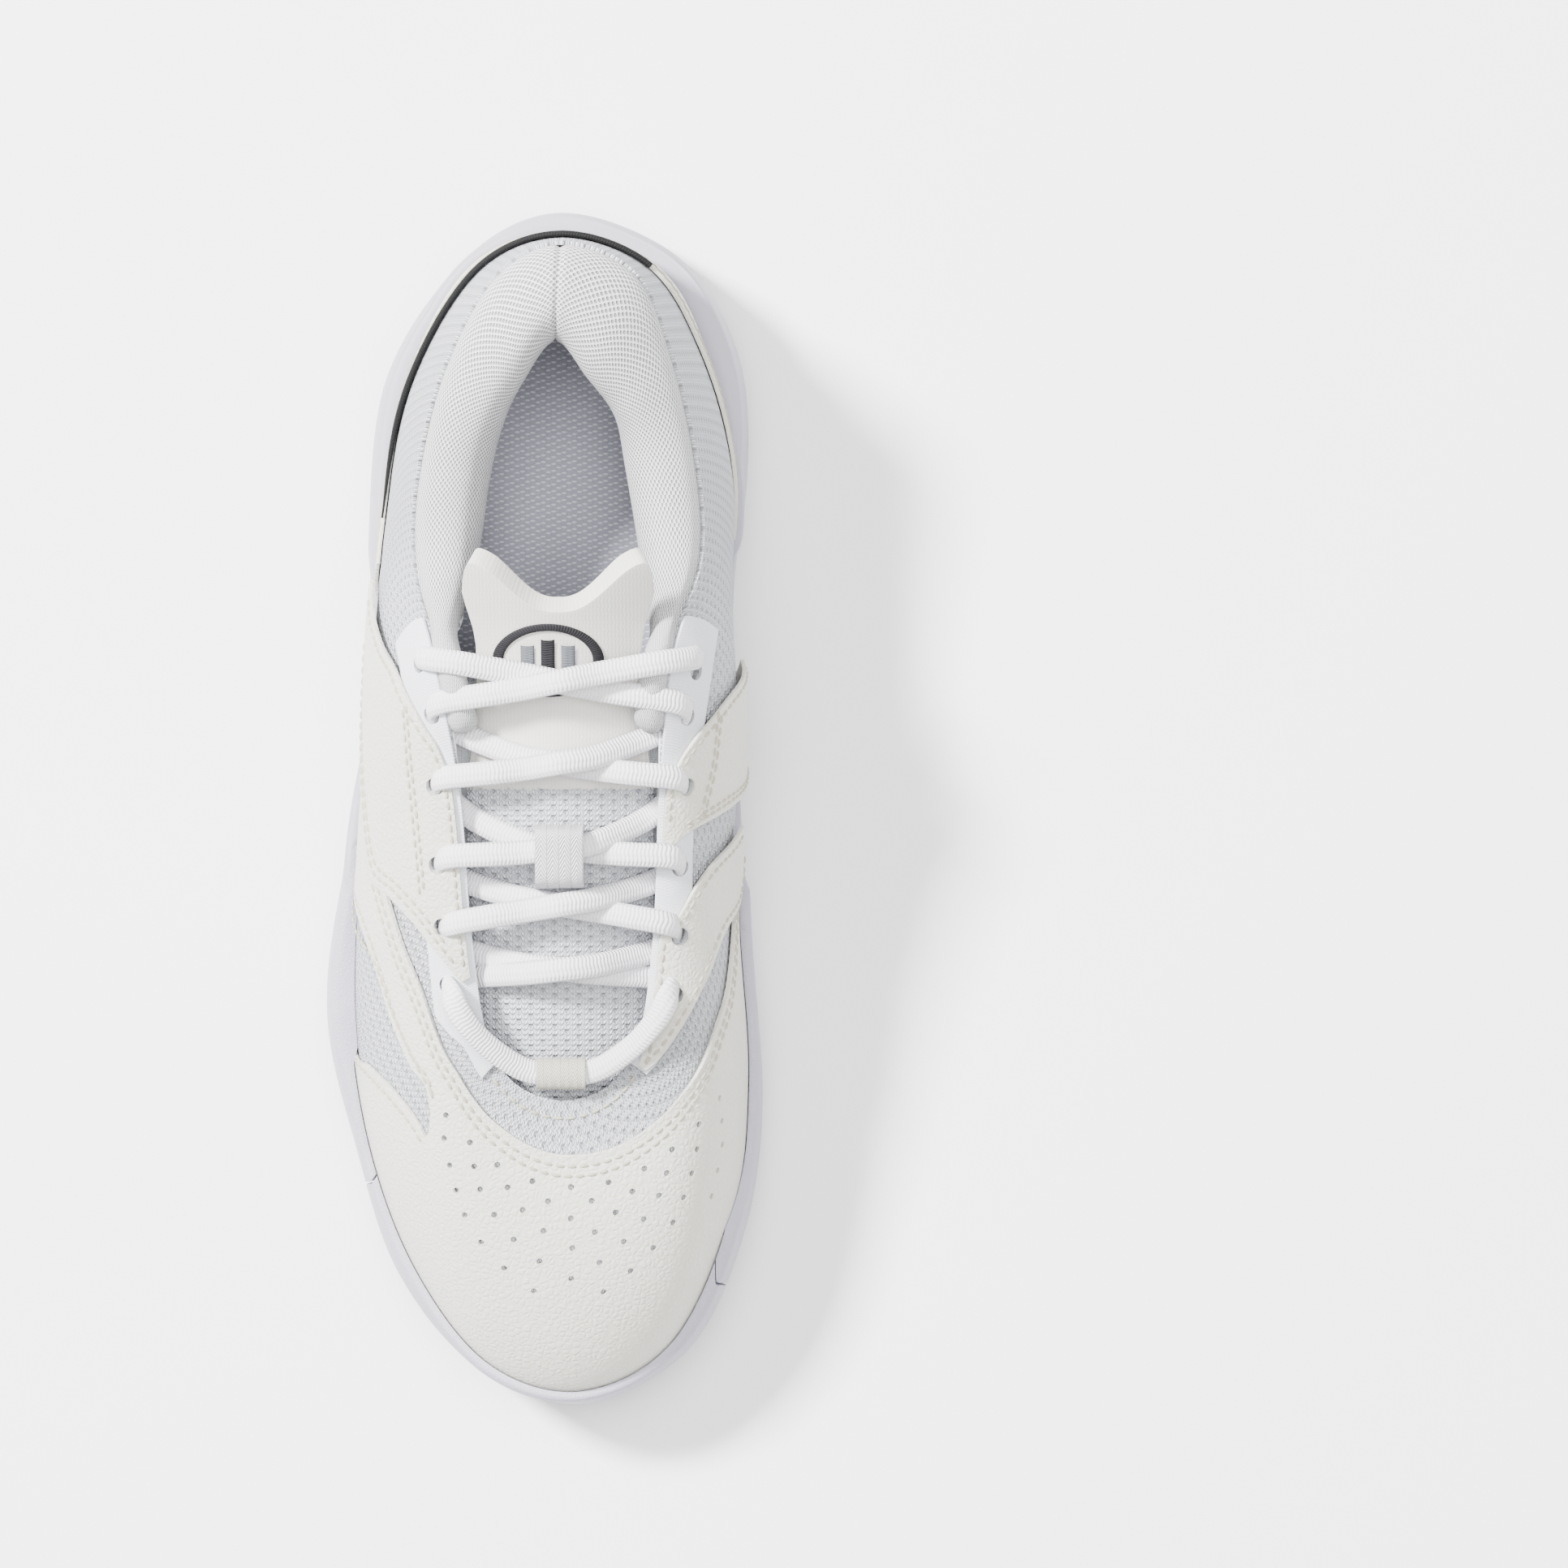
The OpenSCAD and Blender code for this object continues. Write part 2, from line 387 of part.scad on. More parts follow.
// The tongue: an arch over the instep; t is the height above its face
function half(y) = lookup(y, HALF) * tongue_half;
function crown(y) = floor_z(max(y, -60) * ky) + lookup(y, CROWN) * upper_height;
function tongue_slope(y) = (crown(y + 3) - crown(y - 3)) / (6 * ky);
function tongue_point(x, y, t) =
    let (m = tongue_slope(y), l = norm([1, m]))
    [(CENTRE + x) * kx, y * ky - t * m / l, crown(y) - lookup(y, SAG) * x * x + t / l];
ACROSS = [-1 : 0.25 : 1];
module tongue_layer(y0, y1, t0, t1, inset = 0) {
    n = ceil((y1 - y0) / 11);
    skin([for (i = [0 : n]) let (y = y0 + (y1 - y0) * i / n)
        concat([for (u = ACROSS) tongue_point(u * (half(y) - inset), y, t1)],
            reverse([for (u = ACROSS) tongue_point(u * (half(y) - inset), y, t0)]))]);
}
TONGUE_SKIN = 1;
AXIS_Z = tongue_point(0, TAB_Y, -TAB_DEPTH)[2];
module tongue_mesh() { color("aliceblue") tongue_layer(-82, TAB_Y - 0.8, -TONGUE_SKIN, 0); }
module tongue_foam() {
    color("khaki") tongue_layer(-60, TAB_Y - 0.8, -TONGUE_SKIN - gap - tongue_foam_t, -TONGUE_SKIN - gap, 1.5);
}
module tongue_lining() {
    color("snow") tongue_layer(-80, TAB_Y - 0.8, -2 * TONGUE_SKIN - 2 * gap - tongue_foam_t,
        -TONGUE_SKIN - 2 * gap - tongue_foam_t);
}
// A point of the tab: u across, v from the hinge line to the top edge, t below the front
function tab_point(u, v, t, trim = 0) =
    let (top = 52 + 10 * pow(abs(u), 1.6) - trim, y = 25 + (top - 25) * v, x = u * (half(y) - trim))
    let (p = tongue_point(x, y, t), low = max(0, AXIS_Z + 2 - p[2]) * tan(TAB_ANGLE + 3))
    [p[0], max(p[1], (TAB_Y + 0.8 + trim) * ky) + low * (1 - v), p[2]];
TAB_T = tongue_foam_t + 2 * TONGUE_SKIN + 2 * gap;
STEPS = [0 : 0.2 : 1];
module tongue_tab() {
    s = TONGUE_SKIN;
    color("ivory") skin([for (u = ACROSS) concat(
        [for (v = STEPS) tab_point(u, v, 0)], reverse([for (v = STEPS) tab_point(u, v, -TAB_T)]),
        [for (v = STEPS) tab_point(u, v, -TAB_T + s, v * s)],
        reverse([for (v = STEPS) tab_point(u, v, -s, v * s)]))]);
}
module tongue_tab_foam() {
    a = TONGUE_SKIN + gap;
    color("khaki") skin([for (u = ACROSS) concat([for (v = STEPS) tab_point(u * 0.97, v, -a, a + 0.2)],
        reverse([for (v = STEPS) tab_point(u * 0.97, v, -TAB_T + a, a + 0.2)]))]);
}
module tongue_badge() {
    w = 13;
    color("dimgray") skin([for (i = [0 : 4]) let (y = 28 + 4.2 * i)
        concat([for (u = ACROSS) tongue_point(u * w, y, 0.95)],
            reverse([for (u = ACROSS) tongue_point(u * w, y, gap + 0.12)]))]);
}
module tongue_keeper() {
    wide = 12.8;
    long = 16;
    tall = 11.5;
    strap = 1;
    profile = [[-0.5, 0.05], [-0.47, 0.6], [-0.36, 0.94], [0, 1], [0.36, 0.94], [0.47, 0.6], [0.5, 0.05]];
    color("white") skin([for (x = [-1 : 0.5 : 1])
        let (c = tongue_point(x * wide / 2, -12, gap), rise = tongue_slope(-12) * long)
        concat([for (q = profile) c + [0, q[0] * long, q[0] * rise + q[1] * tall]],
            reverse([for (q = profile)
                c + [0, q[0] * (long - 2 * strap), q[0] * rise + q[1] * (tall - strap)]]))]);
}
VAMP_LOOP = lace_point(0, -66, 61);
module vamp_keeper() {
    wide = 12.6;
    function band(a, r) = [cos(a) * (lace_d / 2 + r), sin(a) * (lace_d / 2 + r)];
    color("oldlace") skin([for (a = [0 : 30 : 330]) let (i = band(a, gap), o = band(a, gap + 1.1))
        [for (q = [[-1, i], [1, i], [1, o], [-1, o]])
            VAMP_LOOP + [q[0] * wide / 2, q[1][0], q[1][1]]]], closed = true);
}

// The whole lace: the half route, its mirror, and which of them lies on top at each crossing
CROSSED = [-40, -24, -10, 11, 31];
function row_of(y) = len([for (c = CROSSED) if (y > c - 5) 1]);
function half_lace(hand) = [for (q = LACE) let (over = row_of(q[1]) % 2 == 1 ? 1 : -1)
    lace_point(hand * q[0], q[1], q[2] + q[3] * LACE_LIFT * over * hand)];
LACE_PATH = concat(reverse(half_lace(-1)), [VAMP_LOOP], half_lace(1));
module lace() { color("white") tube(LACE_PATH, lace_d / 2, 8); }
module lace_tips() {
    for (hand = [-1, 1]) {
        a = half_lace(hand)[len(LACE) - 1] - [0, gap, 0];
        color("gainsboro") tube([a, a - [0, TIP / 2, 1], a - [0, TIP, 2]], lace_d / 2 - 0.4, 8);
    }
}

outsole();
midsole();
midfoot_shank();
toe_guard();
lateral_outrigger();
medial_sidewall();
strobel_board();
sockliner_foam();
sockliner_cover();
vamp_mesh();
quarter_mesh_medial();
quarter_mesh_lateral();
toe_overlay();
lateral_panel();
medial_panel();
medial_eyestay();
lateral_eyestay();
medial_facing();
lateral_facing();
heel_overlay();
heel_piping();
toe_puff();
vamp_lining();
quarter_linings();
heel_counter();
collar_foam();
collar_lining();
tongue_mesh();
tongue_foam();
tongue_lining();
tongue_tab();
tongue_tab_foam();
tongue_badge();
tongue_keeper();
vamp_keeper();
lace();
lace_tips();
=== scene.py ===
"""The looks of a right court shoe, added to its packed model. Lengths are in mm until a mesh is made."""

import math

import bpy
import numpy as np
from mathutils import Matrix, Vector


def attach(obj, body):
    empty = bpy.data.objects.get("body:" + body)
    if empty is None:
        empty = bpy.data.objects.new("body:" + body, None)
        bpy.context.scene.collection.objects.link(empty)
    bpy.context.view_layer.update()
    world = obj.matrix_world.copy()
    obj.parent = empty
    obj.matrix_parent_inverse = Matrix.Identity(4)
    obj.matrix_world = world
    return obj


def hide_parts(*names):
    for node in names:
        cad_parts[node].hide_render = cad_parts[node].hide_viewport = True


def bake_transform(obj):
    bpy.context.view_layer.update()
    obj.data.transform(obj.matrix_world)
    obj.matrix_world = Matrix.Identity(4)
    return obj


bl_info = {
    "name": "Court Shoe Looks",
    "version": (1, 0, 0),
    "blender": (4, 5, 0),
    "location": "View3D > Sidebar > Court Shoe",
    "description": "Builds the soft pieces, sole and finishes of a court shoe",
    "category": "Add Mesh",
}

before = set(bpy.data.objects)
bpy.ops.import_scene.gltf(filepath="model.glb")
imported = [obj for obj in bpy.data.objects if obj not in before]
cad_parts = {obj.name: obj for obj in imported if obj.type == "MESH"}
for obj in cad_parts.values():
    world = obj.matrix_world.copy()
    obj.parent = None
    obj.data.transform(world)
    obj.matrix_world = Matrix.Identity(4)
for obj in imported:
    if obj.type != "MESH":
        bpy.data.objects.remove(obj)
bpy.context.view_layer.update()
MM = 0.001
SHARP = math.radians(60)
STATIONS = 20

# Points round the shoe at its stations, 0 at the heel and 10 at the toe, as in the packed part
SOLE = np.array([
    [4, 150], [33, 139.5], [48, 117], [50.5, 90], [47.5, 52], [45.5, 12], [50.5, -32], [55, -70], [51, -105],
    [37, -135.5], [11, -150], [-17, -140.5], [-37, -117], [-47.5, -86], [-55, -50], [-50, -12], [-41.5, 28],
    [-44, 75], [-39, 112], [-20, 138.5]], float)
FEATHER = np.array([
    [4.5, 140], [27, 132], [38, 112], [43, 80], [41, 45], [43, 8], [47, -32], [50, -70], [46, -104],
    [31, -135], [9, -146], [-13, -139], [-31, -116], [-42.5, -86], [-47.5, -52], [-44, -12], [-37, 25],
    [-36.5, 65], [-32, 103], [-17, 132]], float)
TOP = np.array([
    [5.5, 139.5, 68], [24, 132, 65], [33, 112, 57], [39, 86, 48], [40, 62, 47], [32, 38, 66], [29, 5, 59],
    [27.5, -30, 52], [24, -55, 45], [17, -67, 42], [5.5, -71, 41], [-6, -67, 42], [-13, -55, 45],
    [-16.5, -30, 52], [-19, 5, 59], [-25, 38, 66], [-31, 60, 47], [-30.5, 82, 48], [-24, 108, 57],
    [-11, 131, 65]], float)
BULGE = np.array([
    [6, 20, 0, -25], [6, 20, 1, -22], [6, 18, 4, -20], [10, 16, 6, -18], [10, 18, 9, -16], [12, 20, 16, -14],
    [4, 20, 13, 0], [2, 20, 14, 2], [2, 20, 20, 4], [2, 20, 30, 4], [1.5, 20, 38, 3], [2, 20, 30, 4],
    [2, 20, 20, 4], [2, 20, 15, 2], [2, 20, 14, 0], [6, 20, 10, -10], [10, 18, 10, -16], [7, 16, 6, -18],
    [6, 18, 3, -20], [6, 20, 1, -22]], float)
RIM = [(0, 0.14), (3, 0.14), (5, 0.1), (6, 0.12), (7.5, 0.12), (8.2, 0.22), (9, 0.15), (10, 0.11), (11, 0.1),
       (13, 0.1), (14, 0.13), (15, 0.13), (16, 0.1), (18, 0.14), (20, 0.14)]
# The foot opening, from station -6 to 6
OPENING = np.array([
    [-15.5, 8], [-20.5, 37], [-15.5, 62], [-12.5, 82], [-9, 95], [-4, 105], [4, 115], [12, 106], [18.5, 97],
    [21, 85], [25, 60], [27.5, 37], [26, 8]], float)
# The tongue along y: height over the footbed, fall towards its sides, and share of its half width
CROWN = [(-84, 31), (-70, 36.8), (-55, 44), (-30, 52), (5, 59.5), (25, 63.5), (40, 69), (52, 78), (64, 89)]
SAG = [(-84, 0.016), (30, 0.016), (64, 0.01)]
HALF = [(-84, 0.8), (-55, 0.87), (-30, 0.96), (5, 0.96), (25, 0.85), (40, 0.85), (52, 0.92), (64, 1)]
# Edges of the panels: station, and height as a share of the upper's
HEEL_TOP = [(-3.4, 0.5), (-3, 0.42), (-2.6, 0.34), (-2.1, 0.4), (-1.6, 0.47), (-1.1, 0.52), (0, 0.57),
            (1.1, 0.55), (1.6, 0.5), (2.1, 0.42), (2.6, 0.33), (3.4, 0.22)]
TOE_BORDER = [(5.7, 0.24), (6.8, 0.47), (7.4, 0.6), (8.5, 0.78), (9.25, 0.84), (10, 0.865), (10.7, 0.87),
              (11.25, 0.86), (11.8, 0.83), (12.4, 0.76), (13, 0.69), (13.5, 0.61), (14, 0.54), (14.45, 0.47),
              (15, 0.41), (16.4, 0.3)]
WINDOW_TOP = [(12, 0.6), (12.06, 0.64), (12.2, 0.65), (12.7, 0.57), (13.2, 0.5), (13.6, 0.45), (14.1, 0.36),
              (14.62, 0.19), (14.8, 0.08), (16.4, 0.05)]
WINDOW_LOW = [(12, 0.6), (12.06, 0.575), (12.2, 0.56), (12.85, 0.43), (13.35, 0.28), (13.8, 0.07)]
EYELETS_MEDIAL = [(7.46, 0.855), (6.96, 0.845), (6.48, 0.84), (5.92, 0.84), (5.45, 0.865), (5.1, 0.855)]
EYELETS_LATERAL = [(12.72, 0.84), (13.18, 0.845), (13.6, 0.845), (14.1, 0.87), (14.56, 0.9), (14.97, 0.88)]
# Rubber walls round the forefoot: name, first and last station
WALLS = [("Toe_guard", 8.42, 12.76), ("Lateral_outrigger", 12.78, 15), ("Medial_sidewall", 6, 8.4)]
CENTRE = 5.0
TONGUE_HALF = 24.0
EYELET_HOLE = 4.6
LAYER_1, LAYER_2 = 1.2, 2.5

WORLD_STRENGTH = 0.55
# Area lights: name, place, aim, size in metres, power in watts
LIGHTS = [
    ("Key", (-1.7, 1.1, 2.2), (0, 0, 0.03), 0.5, 420),
    ("Fill", (1.6, -0.6, 1.6), (0, 0, 0.03), 1.6, 14),
    ("Top", (0.1, 0.2, 2.6), (0, 0, 0), 1.6, 120)]

# Half of the lace's route: from the centre line, along, height, share of the crossing lift
LACE = [
    (-9, -65, 61.5, 0), (-18, -59, 65, 0), (-24, -52, 68, 0), (-27, -46, 67.5, 0), (-27.5, -43, 62, 0),
    (-23, -42, 58.5, 0), (-9, -41, 67, 0.6), (0, -40, 69, 1), (9, -39, 67, 0.6), (20, -36.5, 61, 0),
    (26, -34, 61, 0), (28.5, -30, 66.5, 0), (26, -28.5, 72.5, 0), (18, -27, 74, 0.2), (9, -25.5, 73, 0.6),
    (0, -24, 75, 1), (-9, -22.5, 73, 0.6), (-20, -19.5, 67, 0), (-26.5, -16.5, 67, 0), (-29.5, -13.5, 71.5, 0),
    (-27, -12, 77, 0), (-18, -11.5, 79, 0.2), (-9, -11, 78.2, 0.6), (0, -10, 79.7, 1), (9, -8.5, 77.8, 0.6),
    (20, -3.5, 72.3, 0), (26, 1, 72.3, 0), (30, 6, 77, 0), (28, 7.5, 82.5, 0), (18, 8.5, 85.5, 0.2),
    (9, 9.5, 84.5, 0.6), (0, 11, 86.5, 1), (-9, 12.5, 84.5, 0.6), (-20, 16.5, 79.8, 0), (-27, 20, 79, 0),
    (-31, 24, 83, 0), (-29, 26, 88.5, 0), (-20, 27.5, 91.8, 0.2), (-10, 29, 92.2, 0.6), (0, 31, 95.6, 1),
    (10, 33, 94.2, 0.6), (24, 35.5, 95, 0.1), (31, 36.5, 92, 0), (33.8, 37, 87, 0), (32.5, 37, 81, 0),
    (30, 35, 75, 0), (31, 27, 69, 0), (32, 16, 65, 0), (32, 6, 62, 0)]
CROSSINGS = (-40, -24, -10, 11, 31)
LACE_LIFT = 2.4


# ---------------------------------------------------------------- the shoe's surface

def table(pairs, x):
    """Straight-line lookup in a list of pairs."""
    return np.interp(x, [p[0] for p in pairs], [p[1] for p in pairs])


def between(a, b, c, d, t):
    """A smooth curve's point at share t of the way from b to c, with neighbours a and d."""
    return 0.5 * (2 * b + (c - a) * t + (2 * a - 5 * b + 4 * c - d) * t ** 2 + (3 * b - a - 3 * c + d) * t ** 3)


def spline(points, s):
    """Smooth closed curve through stations, at every station of s."""
    s = np.asarray(s, float)
    k = np.floor(s).astype(int)
    return between(*(points[(k + i) % len(points)] for i in (-1, 0, 1, 2)), (s - k)[..., None])


def ease(t):
    """A soft step from 0 to 1."""
    t = np.clip(t, 0, 1)
    return t * t * (3 - 2 * t)


def within(x, start, stop, soft):
    """1 between start and stop, with a soft step at each end."""
    return ease((x - start) / soft) * ease((stop - x) / soft)


def unit(v):
    """Vectors of length 1."""
    return v / np.maximum(np.linalg.norm(v, axis=-1, keepdims=True), 1e-9)


def outward(points, s):
    """The level direction out of a closed curve."""
    d = unit(spline(points, s + 0.02)[..., :2] - spline(points, s - 0.02)[..., :2])
    return np.stack([-d[..., 1], d[..., 0]], -1)


def ground(y):
    """Rise of the sole's underside at the toe and the heel."""
    return 10 * (np.maximum(0, -60 - y) / 90) ** 2 + 3 * (np.maximum(0, y - 118) / 31) ** 2


def floor_z(y):
    """Height of the footbed."""
    return 15 + 10 * ease((y + 50) / 110) + np.where(y < 0, ground(y), 0)


def stack(*parts):
    return np.stack(np.broadcast_arrays(*parts), -1)


def upper(s, w):
    """The upper's surface: a cubic from the feather line to the top line."""
    s, w = np.broadcast_arrays(np.asarray(s, float), np.asarray(w, float))
    b, t, h, n = spline(FEATHER, s), spline(TOP, s), spline(BULGE, s), outward(FEATHER, s)
    p0 = stack(b[..., 0], b[..., 1], floor_z(b[..., 1]))
    p3 = stack(t[..., 0], t[..., 1], floor_z(np.maximum(t[..., 1], -60)) + t[..., 2])
    p1 = p0 + stack(n[..., 0] * h[..., 0], n[..., 1] * h[..., 0], h[..., 1])
    p2 = p3 + stack(n[..., 0] * h[..., 2], n[..., 1] * h[..., 2], h[..., 3])
    w = w[..., None]
    a = 1 - w
    return a ** 3 * p0 + 3 * a * a * w * p1 + 3 * a * w * w * p2 + w ** 3 * p3


def upper_normal(s, w):
    """The direction out of the upper's surface."""
    du = upper(s + 0.04, w) - upper(s - 0.04, w)
    return unit(np.cross(upper(s, w + 0.02) - upper(s, w - 0.02), du))


def lifted(s, w, t):
    """A point of the upper, t millimetres outside it."""
    return upper(s, w) + upper_normal(s, w) * np.asarray(t, float)[..., None]


def tongue_half(y):
    return table(HALF, y) * TONGUE_HALF


def crown(y):
    return floor_z(np.maximum(y, -60)) + table(CROWN, y)


def smooth_crown(y):
    """The crown's height with its corners rounded."""
    return sum(crown(y + d) for d in (-6, -4, -2, 0, 2, 4, 6)) / 7


def tongue_point(x, y, t):
    """A point of the tongue's arch: x from its centre line, t above its face."""
    m = (smooth_crown(y + 3) - smooth_crown(y - 3)) / 6
    l = np.sqrt(1 + m * m)
    return stack(CENTRE + x, y - t * m / l, smooth_crown(y) - table(SAG, y) * x * x + t / l)


# ---------------------------------------------------------------- mesh tools

def deselect():
    bpy.ops.object.select_all(action="DESELECT")


def only(piece):
    deselect()
    piece.select_set(True)
    bpy.context.view_layer.objects.active = piece


def modify(piece, kind, **settings):
    """Adds a modifier and applies it."""
    only(piece)
    m = piece.modifiers.new(kind.title(), kind)
    for key, value in settings.items():
        setattr(m, key, value)
    bpy.ops.object.modifier_apply(modifier=m.name)


def edit(piece, *steps):
    """Runs edit mode operators on the whole mesh."""
    only(piece)
    bpy.ops.object.mode_set(mode="EDIT")
    bpy.ops.mesh.select_all(action="SELECT")
    for step, settings in steps:
        step(**settings)
    bpy.ops.object.mode_set(mode="OBJECT")


def weld(piece, distance=0.00001):
    edit(piece, (bpy.ops.mesh.remove_doubles, {"threshold": distance}))


def outwards(piece):
    edit(piece, (bpy.ops.mesh.normals_make_consistent, {"inside": False}))


def smooth(piece, angle=40):
    only(piece)
    bpy.ops.object.shade_smooth_by_angle(angle=math.radians(angle))


def sheet_mesh(name, cols, rows, place, drop=None):
    """A grid laid on a curved surface. place(a, b) gives points in mm and pattern coordinates in mm for a, b
    in 0 to 1; drop(a, b) says which faces are cut away."""
    deselect()
    bpy.ops.mesh.primitive_grid_add(x_subdivisions=cols, y_subdivisions=rows, size=1)
    piece = bpy.context.object
    piece.name = piece.data.name = name
    mesh = piece.data
    co = np.empty(len(mesh.vertices) * 3)
    mesh.vertices.foreach_get("co", co)
    a, b = (co.reshape(-1, 3)[:, :2] + 0.5).T
    a, b = np.clip(a, 0, 1), np.clip(b, 0, 1)
    points, pattern = place(a, b)
    mesh.vertices.foreach_set("co", (points * MM).ravel())
    loops = np.empty(len(mesh.loops), int)
    mesh.loops.foreach_get("vertex_index", loops)
    mesh.uv_layers[0].data.foreach_set("uv", (pattern[loops] * MM).ravel())
    if drop is not None:
        corners = loops.reshape(-1, 4)
        cut_away(piece, drop(a[corners].mean(1), b[corners].mean(1)))
    mesh.update()
    return piece


def cut_away(piece, gone):
    """Deletes the faces marked in gone."""
    only(piece)
    mesh = piece.data
    mesh.vertices.foreach_set("select", np.zeros(len(mesh.vertices), bool))
    mesh.edges.foreach_set("select", np.zeros(len(mesh.edges), bool))
    mesh.polygons.foreach_set("select", gone)
    bpy.context.tool_settings.mesh_select_mode = (False, False, True)
    bpy.ops.object.mode_set(mode="EDIT")
    bpy.ops.mesh.delete(type="FACE")
    bpy.ops.object.mode_set(mode="OBJECT")
    bpy.context.tool_settings.mesh_select_mode = (True, False, False)


def thicken(piece, thickness, rim=0.3, segments=2):
    """Gives a sheet its thickness towards the inside, and rounds its cut edges."""
    modify(piece, "SOLIDIFY", thickness=thickness * MM, offset=-1, use_rim=True)
    if rim:
        modify(piece, "BEVEL", width=rim * MM, segments=segments, limit_method="ANGLE", angle_limit=SHARP)
    smooth(piece)


def border(pairs):
    """Smooth curve through pairs that never swings past them."""
    x, y = np.array(pairs, float).T
    h, d = np.diff(x), np.diff(y) / np.diff(x)
    m = np.zeros_like(y)
    same = d[:-1] * d[1:] > 0
    m[1:-1][same] = 2 * d[:-1][same] * d[1:][same] / (d[:-1] + d[1:])[same]
    m[0], m[-1] = d[0], d[-1]

    def height(v):
        v = np.clip(v, x[0], x[-1])
        k = np.clip(np.searchsorted(x, v) - 1, 0, len(h) - 1)
        t = (v - x[k]) / h[k]
        return ((2 * t ** 3 - 3 * t ** 2 + 1) * y[k] + (t ** 3 - 2 * t ** 2 + t) * h[k] * m[k]
                + (3 * t ** 2 - 2 * t ** 3) * y[k + 1] + (t ** 3 - t ** 2) * h[k] * m[k + 1])
    return height


# Length round the upper at each station, and its height, for the cloth's pattern
RING = np.linspace(0, STATIONS, 401)
RING_LENGTH = np.concatenate([[0], np.cumsum(np.linalg.norm(np.diff(upper(RING, 0.4), axis=0), axis=1))])
HEIGHT = 78.0


def pattern_of(s, w):
    """Pattern coordinates of the upper: millimetres round the shoe and up it."""
    turns = np.floor(s / STATIONS)
    return stack(np.interp(s - STATIONS * turns, RING, RING_LENGTH) + turns * RING_LENGTH[-1], w * HEIGHT)


def patch(name, s0, s1, low, high, t, cols, rows):
    """A sheet on the upper between stations s0 and s1 and the borders low and high."""
    def place(a, b):
        s = s0 + (s1 - s0) * a
        w0, w1 = low(s), high(s)
        w = w0 + (w1 - w0) * b
        return lifted(s, w, t), pattern_of(s, w)
    piece = sheet_mesh(name, cols, rows, place)
    face_out(piece, s0, s1)
    return piece


def face_out(piece, s0, s1):
    """Turns the sheet's faces out, away from the middle of the shoe."""
    s = (s0 + s1) / 2
    want = Vector(upper_normal(s, 0.5))
    near = Vector(upper(s, 0.5) * MM)
    face = min(piece.data.polygons, key=lambda f: (f.center - near).length)
    if face.normal.dot(want) < 0:
        edit(piece, (bpy.ops.mesh.flip_normals, {}))


def tube_mesh(name, points, side, wide, tall, sides, scale=None):
    """A tube of oval section along points; side is the direction of its width at each point."""
    n = len(points)
    tangent = unit(np.gradient(points, axis=0))
    side = unit(side - tangent * np.sum(side * tangent, 1, keepdims=True))
    up = np.cross(tangent, side)
    length = np.concatenate([[0], np.cumsum(np.linalg.norm(np.diff(points, axis=0), axis=1))])
    size = np.ones(n) if scale is None else scale

    def place(a, b):
        i = np.rint(a * (n - 1)).astype(int)
        turn = 2 * np.pi * b
        ring = (side[i] * (np.cos(turn) * wide / 2)[:, None] + up[i] * (np.sin(turn) * tall / 2)[:, None])
        return points[i] + ring * size[i][:, None], stack(length[i], b * (wide + tall) * 1.6)
    piece = sheet_mesh(name, n - 1, sides, place)
    weld(piece)
    edit(piece, (bpy.ops.mesh.select_all, {"action": "DESELECT"}),
         (bpy.ops.mesh.select_non_manifold, {"extend": False}),
         (bpy.ops.mesh.edge_face_add, {}))
    outwards(piece)
    smooth(piece, 60)
    return piece


def face_up(piece, face):
    """Turns a sheet's faces over when the given face looks down."""
    if face.normal.z < 0:
        edit(piece, (bpy.ops.mesh.flip_normals, {}))


def joined(name, pieces):
    """Several pieces as one."""
    only(pieces[0])
    for p in pieces[1:]:
        p.select_set(True)
    if len(pieces) > 1:
        bpy.ops.object.join()
    pieces[0].name = pieces[0].data.name = name
    return pieces[0]


def resample(points, spacing):
    """The same path with even steps."""
    points = np.asarray(points, float)
    length = np.concatenate([[0], np.cumsum(np.linalg.norm(np.diff(points, axis=0), axis=1))])
    at = np.linspace(0, length[-1], max(2, int(round(length[-1] / spacing)) + 1))
    return np.stack([np.interp(at, length, points[:, k]) for k in range(points.shape[1])], -1)


def through(points, steps=8):
    """Smooth open curve through points."""
    p = np.asarray(points, float)
    p = np.vstack([2 * p[0] - p[1], p, 2 * p[-1] - p[-2]])
    out = []
    for k in range(1, len(p) - 2):
        out.append(between(*p[k - 1:k + 3], np.linspace(0, 1, steps, endpoint=False)[:, None]))
    return np.vstack(out + [p[-2:-1]])


def stitches(name, rows, length=2.35, pitch=3.0, width=0.85):
    """Rows of thread. Each row is a path of [x, y, z, nx, ny, nz] in mm, with the leather's normal."""
    deselect()
    bpy.ops.mesh.primitive_uv_sphere_add(segments=8, ring_count=5, radius=0.5)
    piece = bpy.context.object
    piece.name = piece.data.name = name
    unit_thread = np.array([v.co for v in piece.data.vertices])[:, [2, 0, 1]]
    placed = []
    for row in rows:
        path = resample(row, pitch)
        if len(path) < 3:
            continue
        along = unit(np.gradient(path[:, :3], axis=0))
        up = unit(path[:, 3:])
        side = np.cross(up, along)
        sunk = -0.1 * (unit_thread[:, 0] * 2) ** 2
        placed.append(path[:, None, :3] + unit_thread[None, :, 0:1] * length * along[:, None]
                      + unit_thread[None, :, 1:2] * width * side[:, None]
                      + (unit_thread[:, 2] * width * 0.8 + sunk)[None, :, None] * up[:, None])
    placed = np.concatenate(placed)
    modify(piece, "ARRAY", count=len(placed), relative_offset_displace=(2, 0, 0))
    piece.data.vertices.foreach_set("co", (placed * MM).ravel())
    piece.data.update()
    outwards(piece)
    smooth(piece, 80)
    return piece


